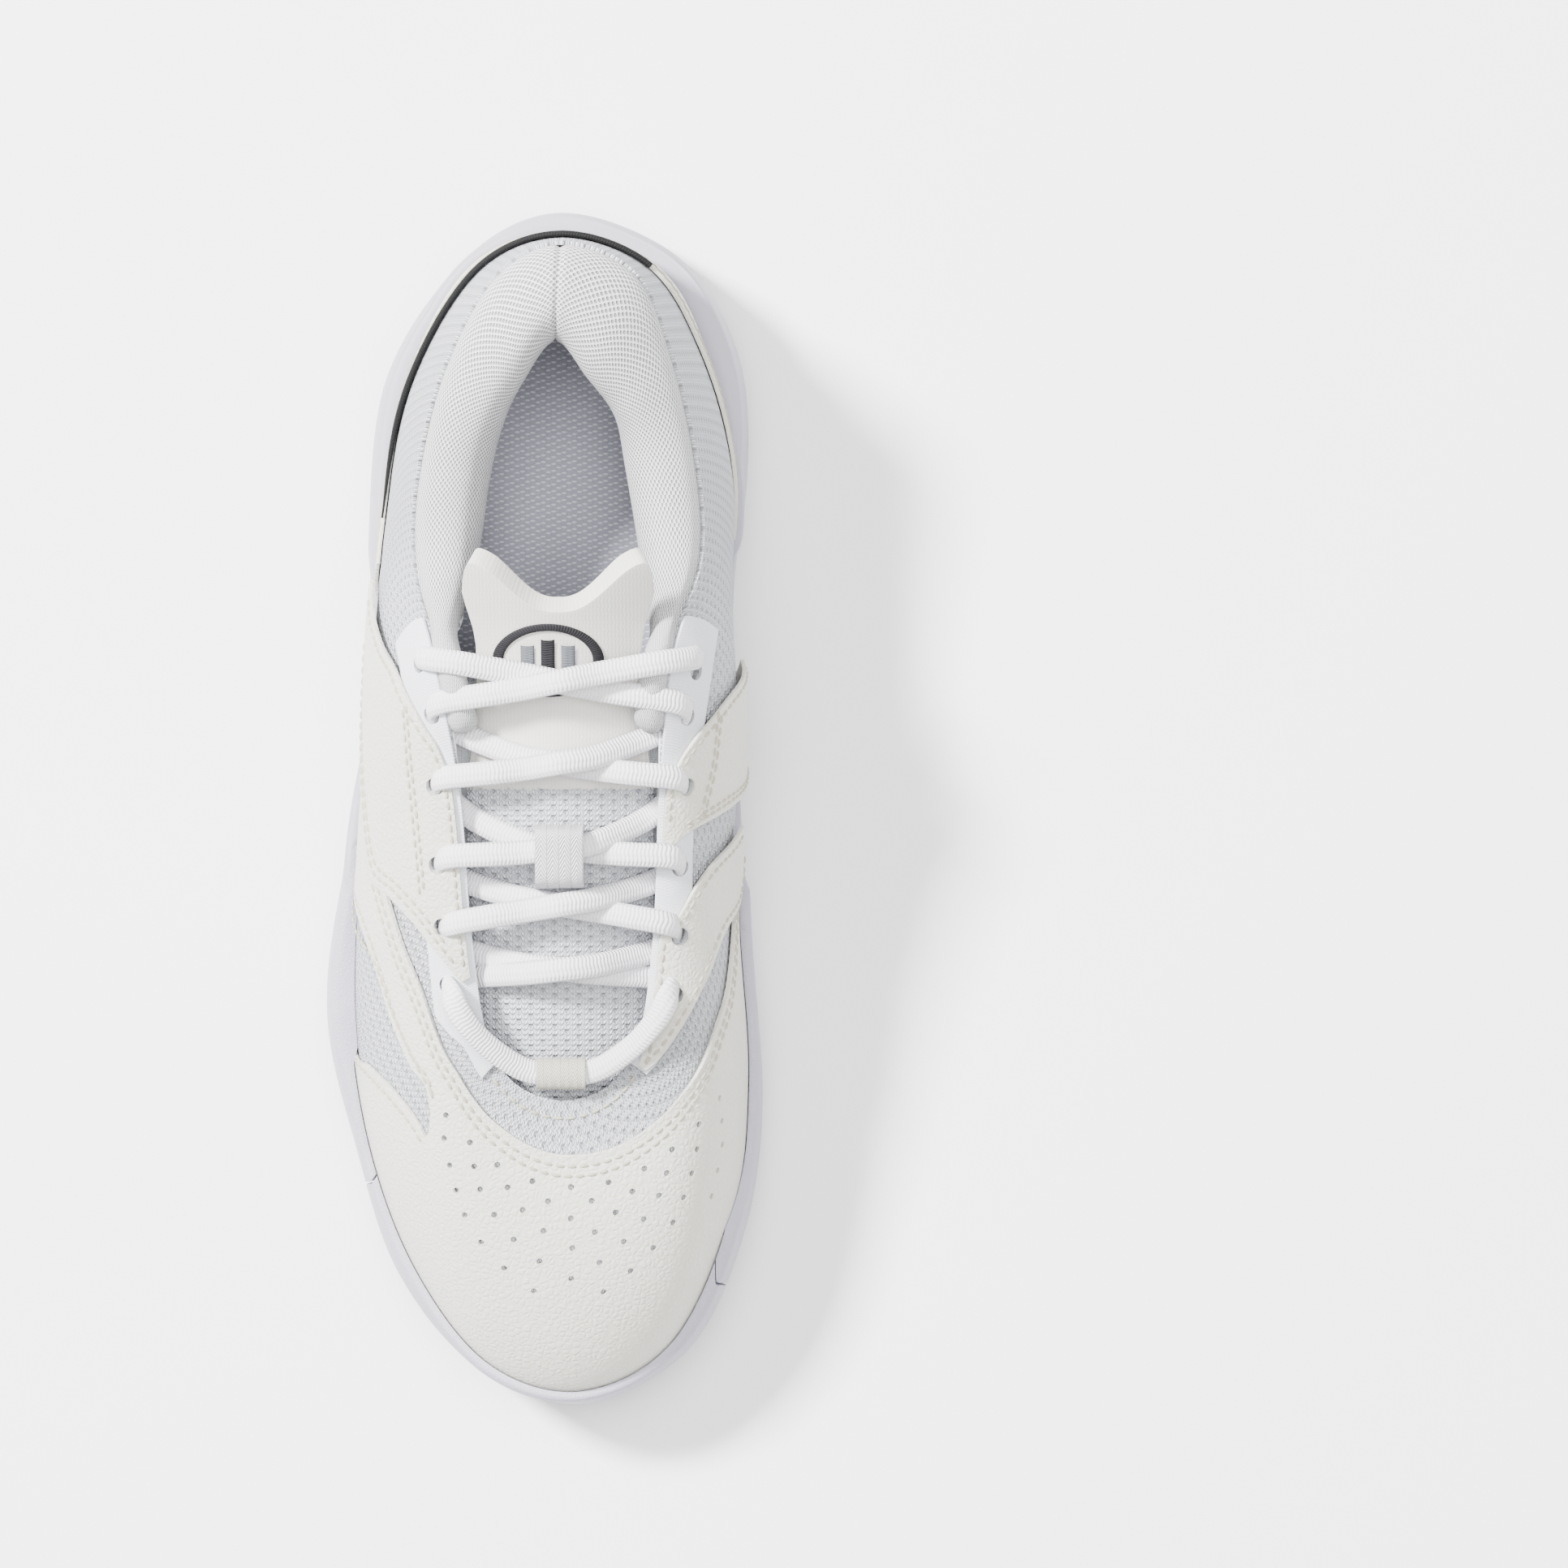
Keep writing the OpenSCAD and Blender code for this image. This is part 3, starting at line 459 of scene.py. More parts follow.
def seam(pairs, t):
    """A stitch row on the upper through (station, height) pairs, t mm above it."""
    sw = through(pairs, 12)
    p = lifted(sw[:, 0], sw[:, 1], np.full(len(sw), t))
    return np.hstack([p, upper_normal(sw[:, 0], sw[:, 1])])


# The record's material slot of each finish
SLOTS = {
    "outsole_rubber": "outsole_rubber", "midsole_foam": "midsole_foam", "wall_rubber": "wall_rubber",
    "dotted_knit": "insole_fabric", "insole_foam": "insole_foam", "lining": "lining",
    "knitted_mesh": "mesh", "leather": "leather", "facing_textile": "facing_textile", "piping": "piping",
    "thread": "leather", "spacer_mesh": "collar_knit", "gusset_knit": "lining",
    "badge_thread": "badge_thread", "webbing": "webbing", "cream_webbing": "cream_webbing",
    "lace_cord": "lace_cord", "shank_plate": "shank_plate", "board": "board", "stiffener": "stiffener",
    "counter_plastic": "counter_plastic", "tip_film": "tip_film"}


def ride_root(piece, *nodes):
    """The piece moves with the shoe, and stands for the named nodes."""
    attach(piece, "root")
    if nodes:
        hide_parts(*nodes)
    return piece


def dress(piece, material):
    """Gives a piece its finish and that finish's slot."""
    piece.data.materials.clear()
    piece.data.materials.append(material)
    name = material.name.split(".")[0]
    name in SLOTS
    return piece


# ---------------------------------------------------------------- materials

class Value:
    """A shader socket in arithmetic."""

    def __init__(self, finish, socket):
        self.finish = finish
        self.socket = socket

    def _math(self, operation, *terms):
        return self.finish.node("ShaderNodeMath", {"operation": operation}, dict(enumerate(terms)))

    def __add__(self, other):
        return self._math("ADD", self, other)

    def __sub__(self, other):
        return self._math("SUBTRACT", self, other)

    def __mul__(self, other):
        return self._math("MULTIPLY", self, other)

    def __rsub__(self, other):
        return self._math("SUBTRACT", other, self)

    def sin(self):
        return self._math("SINE", self)

    def abs(self):
        return self._math("ABSOLUTE", self)

    def fract(self):
        return self._math("FRACT", self)

    def floor(self):
        return self._math("FLOOR", self)

    def at_least(self, other):
        return self._math("MAXIMUM", self, other)

    def power(self, other):
        return self._math("POWER", self, other)

    def ramp(self, low, high, out_low=0.0, out_high=1.0):
        return self.finish.node("ShaderNodeMapRange", {"interpolation_type": "SMOOTHSTEP", "clamp": True}, {
            "Value": self, "From Min": low, "From Max": high, "To Min": out_low, "To Max": out_high})


class Finish:
    """A material and its shader nodes."""

    def __init__(self, name, roughness=0.6, specular=0.4, **uniform):
        self.material = bpy.data.materials.new(name)
        self.material.use_nodes = True
        self.tree = self.material.node_tree
        self.surface = self.tree.nodes["Principled BSDF"]
        self.surface.inputs["Roughness"].default_value = roughness
        self.surface.inputs["Specular IOR Level"].default_value = specular
        for key, value in uniform.items():
            self.surface.inputs[key.replace("_", " ").title()].default_value = value

    def node(self, kind, settings=None, inputs=None, output=0):
        made = self.tree.nodes.new(kind)
        for key, value in (settings or {}).items():
            setattr(made, key, value)
        for key, value in (inputs or {}).items():
            self.feed(made.inputs[key], value)
        return Value(self, made.outputs[output])

    def feed(self, socket, value):
        if isinstance(value, Value):
            self.tree.links.new(value.socket, socket)
        else:
            socket.default_value = value

    def place(self, source="Object"):
        return self.node("ShaderNodeTexCoord", output=source)

    def split(self, vector):
        parts = self.node("ShaderNodeSeparateXYZ", inputs={0: vector})
        node = parts.socket.node
        return [Value(self, node.outputs[i]) for i in range(3)]

    def noise(self, vector, scale, detail=2.0, roughness=0.5):
        return self.node("ShaderNodeTexNoise", inputs={
            "Vector": vector, "Scale": scale, "Detail": detail, "Roughness": roughness})

    def cells(self, vector, scale, feature="F1", randomness=1.0):
        return self.node("ShaderNodeTexVoronoi", {"feature": feature}, {
            "Vector": vector, "Scale": scale, "Randomness": randomness})

    def blend(self, share, low, high):
        made = self.tree.nodes.new("ShaderNodeMix")
        made.data_type = "RGBA"
        self.feed(made.inputs["Factor"], share)
        self.feed(made.inputs["A"], low)
        self.feed(made.inputs["B"], high)
        return Value(self, made.outputs["Result"])

    def color(self, value):
        self.feed(self.surface.inputs["Base Color"], value)

    def rough(self, value):
        self.feed(self.surface.inputs["Roughness"], value)

    def bump(self, height, distance, strength=1.0):
        made = self.node("ShaderNodeBump", inputs={
            "Height": height, "Distance": distance, "Strength": strength})
        self.feed(self.surface.inputs["Normal"], Value(self, made.socket.node.outputs["Normal"]))


def rgba(c, k=1.0):
    """A colour, darkened or lightened by k."""
    return (c[0] * k, c[1] * k, c[2] * k, 1.0)


def leather(color):
    """Fine pebbled leather."""
    f = Finish("leather", roughness=0.5, specular=0.35)
    at = f.place()
    grain = f.cells(at, 900, "F1")
    creases = f.cells(at, 620, "DISTANCE_TO_EDGE").ramp(0.0, 0.3)
    cloud = f.noise(at, 35, 3)
    # Darker in the creases: painted shade; the soft patches from the cloud are the leather's own tone.
    f.color(f.blend(creases * 0.6 + cloud.ramp(0.3, 0.7) * 0.4, rgba(color, 0.95), rgba(color, 1.0)))
    f.rough(cloud.ramp(0.2, 0.8, 0.46, 0.56))
    f.bump(creases * 0.7 + grain * 0.35 + f.noise(at, 2600, 2) * 0.3, 0.00022, 0.8)
    return f.material


def knit(name, color, wale=1.15, course=0.95, holes=0.0, depth=0.00022):
    """Knitted mesh: columns of V-shaped loops, with small holes between them."""
    f = Finish(name, roughness=0.85, specular=0.2)
    x, y, _ = f.split(f.place("UV"))
    column = x * (1000 / wale)
    row = y * (1000 / course)
    across = (column.fract() - 0.5).abs() * 2
    loop = (row + across * 0.55).fract()
    yarn = ((loop - 0.5).abs() * 2).ramp(0.1, 0.9) * (across * (1 - across) * 4).ramp(0.0, 0.7)
    fuzz = f.noise(f.place(), 2200, 2)
    height = yarn + fuzz * 0.35
    # Darker in the hollows between the loops: painted shade.
    knit_colour_with_painted_shade = f.blend(yarn.ramp(0.0, 0.7), rgba(color, 0.74), rgba(color, 1.02))
    if holes:
        hole_x = (column * 0.5).fract() - 0.5
        hole_y = (row * 0.5 + (column * 0.5).floor() * 0.5).fract() - 0.5
        hole = (hole_x * hole_x + hole_y * hole_y).ramp(0.015, 0.09, 1.0, 0.0) * holes
        # The holes are painted dark: painted shade.
        knit_colour_with_painted_shade = f.blend(hole, knit_colour_with_painted_shade, rgba(color, 0.45))
        height = height - hole * 1.2
    f.color(knit_colour_with_painted_shade)
    f.bump(height, depth, 0.9)
    return f.material


def spacer_mesh(color):
    """Collar fabric: offset rows of small oval holes."""
    f = Finish("spacer_mesh", roughness=0.8, specular=0.2)
    x, y, _ = f.split(f.place("UV"))
    u, v = x * (1000 / 2.5), y * (1000 / 2.2)
    hole = None
    for shift in (0.0, 0.5):
        hx = (u + shift).fract() - 0.5
        hy = (v + shift).fract() - 0.5
        one = (hx * hx + hy * hy * 1.4).ramp(0.015, 0.1, 1.0, 0.0)
        hole = one if hole is None else hole.at_least(one)
    fuzz = f.noise(f.place(), 2400, 2)
    # The holes are painted dark: painted shade.
    f.color(f.blend(hole, rgba(color), rgba(color, 0.42)))
    f.bump(1 - hole + fuzz * 0.35, 0.0006, 1.0)
    return f.material


def plain(name, color, roughness=0.6, grain=900, depth=0.00005, specular=0.4, tint=0.97):
    """Smooth moulded or pressed surface with a fine grain."""
    f = Finish(name, roughness=roughness, specular=specular)
    at = f.place()
    cloud = f.noise(at, 30, 3)
    f.color(f.blend(cloud.ramp(0.3, 0.7), rgba(color, tint), rgba(color)))
    f.rough(cloud.ramp(0.2, 0.8, roughness - 0.04, roughness + 0.06))
    f.bump(f.noise(at, grain, 3), depth, 0.6)
    return f.material


def stippled(name, color, roughness=0.55):
    """Moulded rubber with a fine leather-like stipple."""
    f = Finish(name, roughness=roughness, specular=0.4)
    at = f.place()
    pebble = f.cells(at, 1100, "DISTANCE_TO_EDGE").ramp(0.0, 0.2)
    f.color(f.blend(f.noise(at, 25, 2).ramp(0.3, 0.7), rgba(color, 0.98), rgba(color)))
    f.bump(pebble + f.noise(at, 1800, 2) * 0.4, 0.00009, 0.6)
    return f.material


def ribbed(name, color, pitch, cords, around, depth=0.0003, painted_groove_shade=0.86):
    """Braided or woven cord: ribs along its length, crossed by fine picks."""
    f = Finish(name, roughness=0.75, specular=0.25)
    x, y, _ = f.split(f.place("UV"))
    across = (y * (1000 * cords * math.tau / 2 / around)).sin()
    picks = (x * (1000 * math.tau / pitch) + across * 0.9).sin() * 0.5 + 0.5
    height = picks.power(0.7) * 0.75 + across.abs() * 0.3
    # Darker in the grooves between ribs and picks: painted shade.
    f.color(f.blend(height.ramp(0.1, 0.8), rgba(color, painted_groove_shade), rgba(color, 1.02)))
    f.bump(height + f.noise(f.place(), 2600, 2) * 0.15, depth, 0.8)
    return f.material


def herringbone(name, color, pitch=0.9, column=3.1, painted_groove_shade=0.82):
    """Webbing woven in columns of slanted ribs."""
    f = Finish(name, roughness=0.75, specular=0.25)
    x, y, _ = f.split(f.place("UV"))
    side = (x * (1000 / column)).fract()
    slant = (side - 0.5).abs() * 2
    rib = ((y * (1000 / pitch) + slant * 2.2) * math.tau).sin() * 0.5 + 0.5
    edge = slant.ramp(0.86, 1.0, 1.0, 0.0)
    height = rib * edge
    # Darker in the grooves and at the column edges: painted shade.
    f.color(f.blend(height.ramp(0.0, 0.6), rgba(color, painted_groove_shade), rgba(color, 1.02)))
    f.bump(height + f.noise(f.place(), 2600, 2) * 0.15, 0.00035, 0.8)
    return f.material


def dotted_knit(color, dot):
    """Insole fabric: a fine knit with rows of lighter dots."""
    f = Finish("dotted_knit", roughness=0.9, specular=0.15)
    x, y, _ = f.split(f.place())
    u, v = x * (1000 / 2.6), y * (1000 / 1.7)
    dots = None
    for shift in (0.0, 0.5):
        dx = (u + shift).fract() - 0.5
        dy = (v + shift + (u + shift).floor() * 0.3).fract() - 0.5
        one = (dx * dx * 0.6 + dy * dy * 1.5).ramp(0.015, 0.05, 1.0, 0.0)
        dots = one if dots is None else dots.at_least(one)
    fuzz = f.noise(f.place(), 1800, 3)
    f.color(f.blend(dots, f.blend(fuzz.ramp(0.3, 0.7), rgba(color, 0.92), rgba(color, 1.05)), rgba(dot)))
    f.bump(dots * -0.6 + fuzz * 0.6, 0.0003, 0.7)
    return f.material


def foam(name, color):
    """Open cell foam."""
    f = Finish(name, roughness=0.95, specular=0.1)
    at = f.place()
    cells = f.cells(at, 1400, "F1")
    # Darker in the pores: painted shade.
    f.color(f.blend(cells.ramp(0.1, 0.6), rgba(color, 0.8), rgba(color)))
    f.bump(cells, 0.0003, 0.6)
    return f.material


def fibre_board(name, color):
    """Pressed fibre sheet with long fibres."""
    f = Finish(name, roughness=0.85, specular=0.2)
    at = f.place()
    stretched = f.node("ShaderNodeMapping", inputs={"Vector": at, "Scale": (900, 120, 900)})
    fibre = f.noise(stretched, 1.0, 4, 0.6)
    f.color(f.blend(fibre.ramp(0.3, 0.7), rgba(color, 0.82), rgba(color, 1.05)))
    f.bump(fibre, 0.0001, 0.6)
    return f.material


def linear(r, g, b):
    """A screen colour, 0 to 255, as scene-linear."""
    return tuple(((c / 255 + 0.055) / 1.055) ** 2.4 for c in (r, g, b))


LEATHER = linear(202, 200, 190)
MESH_WHITE = linear(210, 212, 217)
KNIT_WHITE = linear(204, 202, 195)
COLLAR_WHITE = linear(212, 212, 214)
RUBBER = linear(166, 164, 176)
INSOLE = linear(132, 132, 142)
LACE_WHITE = linear(222, 221, 225)

LOW = border([(0, 0.02), (20, 0.02)])
TOP_EDGE = border([(0, 0.985), (20, 0.985)])
MEDIAL_PANEL_LOW = [(5.5, 0.16), (5.9, 0.27), (6.58, 0.55), (7.04, 0.67), (7.5, 0.77), (7.88, 0.84),
                    (8.46, 0.92)]
MEDIAL_PANEL_HIGH = [(5.5, 0.31), (6.12, 0.59), (6.54, 0.76), (6.86, 0.87), (7.05, 0.95), (8.5, 0.95)]
MEDIAL_STAY_LOW = [(4.4, 0.17), (4.95, 0.17), (5.25, 0.3), (5.54, 0.45), (6.06, 0.72), (6.36, 0.9)]
MEDIAL_STAY_TOP = [(4.4, 0.34), (4.56, 0.42), (5.02, 0.62), (5.36, 0.74), (5.62, 0.84), (5.8, 0.9),
                   (6.04, 0.95), (6.4, 0.95)]
LATERAL_STAY_LOW = [(12.64, 0.91), (13.04, 0.81), (13.42, 0.71), (13.84, 0.59), (14.3, 0.46), (15.2, 0.38),
                    (16.4, 0.32)]
LATERAL_STAY_TOP = [(12.6, 0.95), (14.02, 0.95), (14.3, 0.92), (14.52, 0.86), (14.88, 0.78), (15.14, 0.74),
                    (15.48, 0.68), (15.82, 0.64), (16.14, 0.6), (16.4, 0.55)]
MEDIAL_FACING_LOW = [(4.6, 0.76), (7, 0.76), (7.6, 0.8), (8, 0.86), (8.5, 0.91)]
LATERAL_FACING_LOW = [(11.5, 0.91), (12, 0.88), (12.4, 0.8), (12.7, 0.75), (15.4, 0.75)]


def holes_through(piece, spots, diameter, depth):
    """Cuts round holes square to the upper at (station, height) spots."""
    cutters = []
    for s, w in spots:
        n = Vector(upper_normal(np.float64(s), np.float64(w)))
        at = Vector(upper(np.float64(s), np.float64(w)) * MM)
        deselect()
        bpy.ops.mesh.primitive_cylinder_add(vertices=20, radius=diameter * MM / 2, depth=depth * MM)
        cutter = bpy.context.object
        cutter.data.transform(n.to_track_quat("Z", "Y").to_matrix().to_4x4())
        cutter.data.transform(Matrix.Translation(at))
        cutters.append(cutter)
    cutter = joined("cutter", cutters)
    modify(piece, "BOOLEAN", operation="DIFFERENCE", object=cutter, solver="EXACT")
    bpy.data.objects.remove(cutter)
    smooth(piece)


def chosen():
    """The scene's sizes and colours."""
    return bpy.context.scene.shoe


# ---------------------------------------------------------------- sole

def reach(s):
    """How far the sole stands out of the feather line."""
    return np.sum((spline(SOLE, s) - spline(FEATHER, s)) * outward(FEATHER, s), -1)


def beside(s, d, z):
    """A point d outside the feather line at height z."""
    p = spline(FEATHER, s) + outward(FEATHER, s) * np.asarray(d)[..., None]
    return stack(p[..., 0], p[..., 1], z)


def side_path(s, g):
    """Six points up the sole's side at every station, moved out by g. Where the upper is bare, with no
    leather over the mesh, the lip comes in to meet it."""
    bare = ease((s - 13.58) / 0.15) * ease((14.85 - s) / 0.12) + within(s, 3.35, 5.75, 0.15)
    d, rim = reach(s), lifted(s, table(RIM, s % STATIONS) + g / 55, 1.5 - 1.45 * bare)
    base = ground(beside(s, d - 2.4 + g, 0)[..., 1]) + 3.6
    dr = np.sum((rim[..., :2] - spline(FEATHER, s)) * outward(FEATHER, s), -1)
    zr = lifted(s, table(RIM, s % STATIONS), 1.5)[..., 2]
    return np.stack([
        beside(s, d - 2.4 + g, base + 0.3), beside(s, d - 0.7 + g, base + 3.5), beside(s, d + g, base + 7),
        beside(s, np.maximum(d - 1.2, dr + 2.8) + g, zr - 2.5),
        beside(s, np.maximum(d - 2.8, dr + 1.8) + g / 2, zr + g), rim], 1)


def path_at(p, u):
    """A point at share u along each path of p, shape (paths, points, 3)."""
    q = p.shape[1] - 1
    v = np.clip(u, 0, 1) * q
    i = np.minimum(q - 1, np.floor(v)).astype(int)
    near = [p[np.arange(len(p)), np.clip(i + k, 0, q)] for k in (-1, 0, 1, 2)]
    return between(*near, (v - i)[:, None])


def closed_ring(name, place, cols, rows):
    """A sheet welded into a ring round the shoe, with its open ends filled."""
    piece = sheet_mesh(name, cols, rows, place)
    weld(piece)
    edit(piece, (bpy.ops.mesh.fill_holes, {"sides": 0}))
    outwards(piece)
    smooth(piece, 50)
    return piece


def make_outsole():
    """Herringbone tread with a ringed pivot point under the forefoot and a plain waist."""
    thick, groove_depth, margin = 3.6, 1.5, 2.6
    zigzag, swing, rib = 17, 5.2, 4.6
    pivot_x, pivot_y, pivot_radius, ring = 6, -78, 19, 3.9

    def place(a, b):
        s = 0.06 + 9.88 * a
        left, right = (beside(t, reach(t) - margin, 0)[..., :2] for t in (STATIONS - s, s))
        under = b < 0.5
        share = np.clip(np.where(under, b * 2.08 - 0.03, 2.05 - b * 2.08), 0, 1)
        wall = np.minimum(np.minimum(b, 1 - b), np.abs(b - 0.5)) < 1e-6
        p = left + (right - left) * share[:, None]
        x, y = p.T
        wave = ((y + np.abs((x / zigzag) % 1 - 0.5) * 2 * swing) / rib) % 1
        from_pivot = np.hypot(x - pivot_x, y - pivot_y)
        disc = ease((pivot_radius - from_pivot) / 0.8)
        rings = within((from_pivot / ring) % 1, 0.5, 1, 0.15)
        groove = within(wave, 0.5, 1, 0.13) * (1 - disc) + disc * rings
        inside = np.minimum(share, 1 - share) * np.linalg.norm(right - left, axis=1)
        rim = ease((inside - margin) / 0.8) * within(a, 0.012, 0.988, 0.01)
        cut = groove_depth * groove * (1 - within(y, -22, 22, 5)) * rim
        z = ground(y) + np.where(wall, thick / 2, np.where(under, cut, thick))
        return stack(x, y, z), p
    piece = closed_ring("Outsole", place, 380, 132)
    return ride_root(dress(piece, stippled("outsole_rubber", chosen().rubber, 0.6)), "outsole")


def wrapped(s):
    """1 where the rubber walls stand outside the midsole, 0 round the heel."""
    return within(s, 6.01, 14.99, 0.05)


def make_midsole():
    """One closed section round the shoe: its side, its lip, and the shelf under the upper."""
    wall_depth, lip = 2.1, 0.8

    def place(a, b):
        s = STATIONS * a
        outside = side_path(s, -wall_depth * wrapped(s))
        rim = table(RIM, s % STATIONS)
        inner = np.stack([outside[:, -1], lifted(s, rim / 2, 0.1), lifted(s, np.full_like(s, 0.03), 1.5),
                          beside(s, 1.0, floor_z(spline(FEATHER, s)[:, 1]) - 2.5)], 1)
        on_side, on_shelf = path_at(outside, b / lip), path_at(inner, (b - lip) / (1 - lip))
        return np.where((b <= lip)[:, None], on_side, on_shelf), pattern_of(s, b)
    piece = closed_ring("Midsole", place, 300, 36)
    finish = plain("midsole_foam", chosen().rubber, 0.55, 1300, 0.00008)
    return ride_root(dress(piece, finish), "midsole")


def make_wraps():
    """The toe guard and the two side walls."""
    finish = stippled("wall_rubber", linear(166, 164, 177), 0.5)
    for name, s0, s1 in WALLS:
        def place(a, b):
            s = s0 + (s1 - s0) * a
            return path_at(side_path(s, 0), b), pattern_of(s, b)
        piece = sheet_mesh(name, 110, 30, place)
        face_out(piece, s0, s1)
        thicken(piece, 1.8, 0.45, 3)
        ride_root(dress(piece, finish), name.lower())


def make_insole_cover():
    """The insole's fabric over its foam, laid across the footbed from edge to edge."""
    cup, cup_reach = 2.3, 11
    toe_y, heel_y = -140, 134

    def build(name, top, thick, inset, finish, node):
        def place(a, b):
            s = 0.07 + 9.86 * a
            left, right = (beside(t, np.full_like(t, -inset), 0)[..., :2] for t in (STATIONS - s, s))
            p = left + (right - left) * b[:, None]
            span = np.linalg.norm(right - left, axis=1)
            edge = np.minimum(np.minimum(b, 1 - b) * span, np.minimum(p[:, 1] - toe_y, heel_y - p[:, 1]))
            z = floor_z(p[:, 1]) + top + cup * (1 - ease(edge / cup_reach))
            return stack(p[:, 0], p[:, 1], z), p
        piece = sheet_mesh(name, 200, 70, place)
        face_up(piece, piece.data.polygons[len(piece.data.polygons) // 2])
        thicken(piece, thick, 0.25)
        dress(piece, finish)
        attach(piece, "sockliner")
        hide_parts(node)
        return piece
    build("Insole_cover", 4.8, 0.8, 6.1, dotted_knit(INSOLE, linear(172, 172, 182)), "sockliner_cover")
    pad = build("Insole_foam", 3.7, 3.9, 6.3, foam("insole_foam", linear(190, 190, 198)), "sockliner_foam")


# ---------------------------------------------------------------- upper

def make_meshes():
    """The knitted mesh, one cloth round the whole upper."""
    def place(a, b):
        s, w = STATIONS * a, 0.02 + 0.965 * b
        return lifted(s, w, -0.1), pattern_of(s, w)
    piece = sheet_mesh("Upper_mesh", 440, 64, place)
    weld(piece)
    face_out(piece, 0, STATIONS)
    thicken(piece, 1.1, 0.3)
    holes_through(piece, EYELETS_MEDIAL + EYELETS_LATERAL, EYELET_HOLE, 8)
    dress(piece, knit("knitted_mesh", chosen().mesh, 1.6, 1.4, 0.75, 0.0006))
    return ride_root(piece, "vamp_mesh", "quarter_mesh_medial", "quarter_mesh_lateral")


def make_linings():
    """Linings of the vamp and of both quarters."""
    finish = plain("lining", linear(235, 235, 239), 0.8, 1500, 0.0001, 0.2)
    piece = patch("Vamp_lining", 6.9, 13.2, LOW, TOP_EDGE, -2.4, 100, 36)
    thicken(piece, 1.0, 0.2)
    ride_root(dress(piece, finish), "vamp_lining")
    sides = [patch("Quarter_linings", s0, s1, LOW, TOP_EDGE, -1.5, 50, 36)
             for s0, s1 in ((4.98, 6.85), (13.25, 15.02))]
    for one in sides:
        thicken(one, 1.0, 0.2)
    ride_root(dress(joined("Quarter_linings", sides), finish), "quarter_linings")


def panel(name, s0, s1, low, high, t, cols, rows, spots=()):
    """A leather or cloth panel with its eyelet holes."""
    piece = patch(name, s0, s1, border(low), border(high), t, cols, rows)
    thicken(piece, 1.0, 0.35)
    if spots:
        holes_through(piece, spots, EYELET_HOLE, 8)
    return piece


def perforations():
    """Small vents in staggered rows that follow the toe panel's edge."""
    rows, apart, first_row, row_step = 8, 7.4, 8, 3.85
    edge = border(TOE_BORDER)
    s = np.linspace(7.7, 12.0, 600)
    line = lifted(s, edge(s), 1.2)[:, :2]
    along = np.concatenate([[0], np.cumsum(np.linalg.norm(np.diff(line, axis=0), axis=1))])
    inward = unit(np.gradient(line, axis=0))
    inward = np.stack([inward[:, 1], -inward[:, 0]], 1)
    if inward[300] @ (np.array([5, -150]) - line[300]) < 0:
        inward = -inward
    gs, gw = np.meshgrid(np.linspace(7.2, 12.4, 260), np.linspace(0.3, 0.95, 200), indexing="ij")
    field = lifted(gs, gw, np.full_like(gs, 1.2))[..., :2].reshape(-1, 2)
    spots = []
    for row in range(rows):
        for k in range(-9, 10):
            at = along[-1] * 0.53 + (k + 0.5 * (row % 2)) * apart
            if not 3 + 4.4 * row < at < along[-1] - 4.4 * row - 2:
                continue
            mid = np.array([np.interp(at, along, line[:, 0]), np.interp(at, along, line[:, 1])])
            way = unit(np.array([np.interp(at, along, inward[:, 0]), np.interp(at, along, inward[:, 1])]))
            target = mid + way * (first_row + row_step * row)
            near = np.argmin(np.sum((field - target) ** 2, 1))
            spots.append((gs.ravel()[near], gw.ravel()[near]))
    return spots


def make_toe_overlay():
    """Toe leather and lateral panel in one sheet, with the mesh window left open between them."""
    start, length, window = 5.8, 10.6, 12.0
    foot, under, over = 0.02, 0.5, 0.56
    low, top = border(WINDOW_LOW + [(14.4, 0.03), (16.4, 0.03)]), border(WINDOW_TOP)
    high = border(TOE_BORDER)

    def place(a, b):
        s = start + length * a
        before = np.clip((window - s) / 6.2, 0, 1)
        w_high = high(s)
        w_low = np.where(s < window, 0.6 * w_high / high(window) * (1 - 0.25 * before) - 0.002, low(s))
        w_top = np.where(s < window, w_low + 0.004, top(s))
        w = np.where(b < under, foot + (w_low - foot) * b / under,
                     np.where(b < over, w_low + (w_top - w_low) * (b - under) / (over - under),
                              w_top + (w_high - w_top) * (b - over) / (1 - over)))
        roll = 0.25 * ease(1 - np.abs(w_high - w) * HEIGHT / 1.6) * (s < 14.9)
        return lifted(s, w, LAYER_1 + roll), pattern_of(s, w)

    def drop(a, b):
        s = start + length * a
        return ((s > window) & (b > under) & (b < over)) | ((s > 13.95) & (b < under))
    piece = sheet_mesh("Toe_overlay", 424, 100, place, drop)
    face_out(piece, 9.5, 10.5)
    thicken(piece, 1.0, 0.35)
    holes_through(piece, perforations(), 1.55, 5)
    return ride_root(piece, "toe_overlay", "lateral_panel")


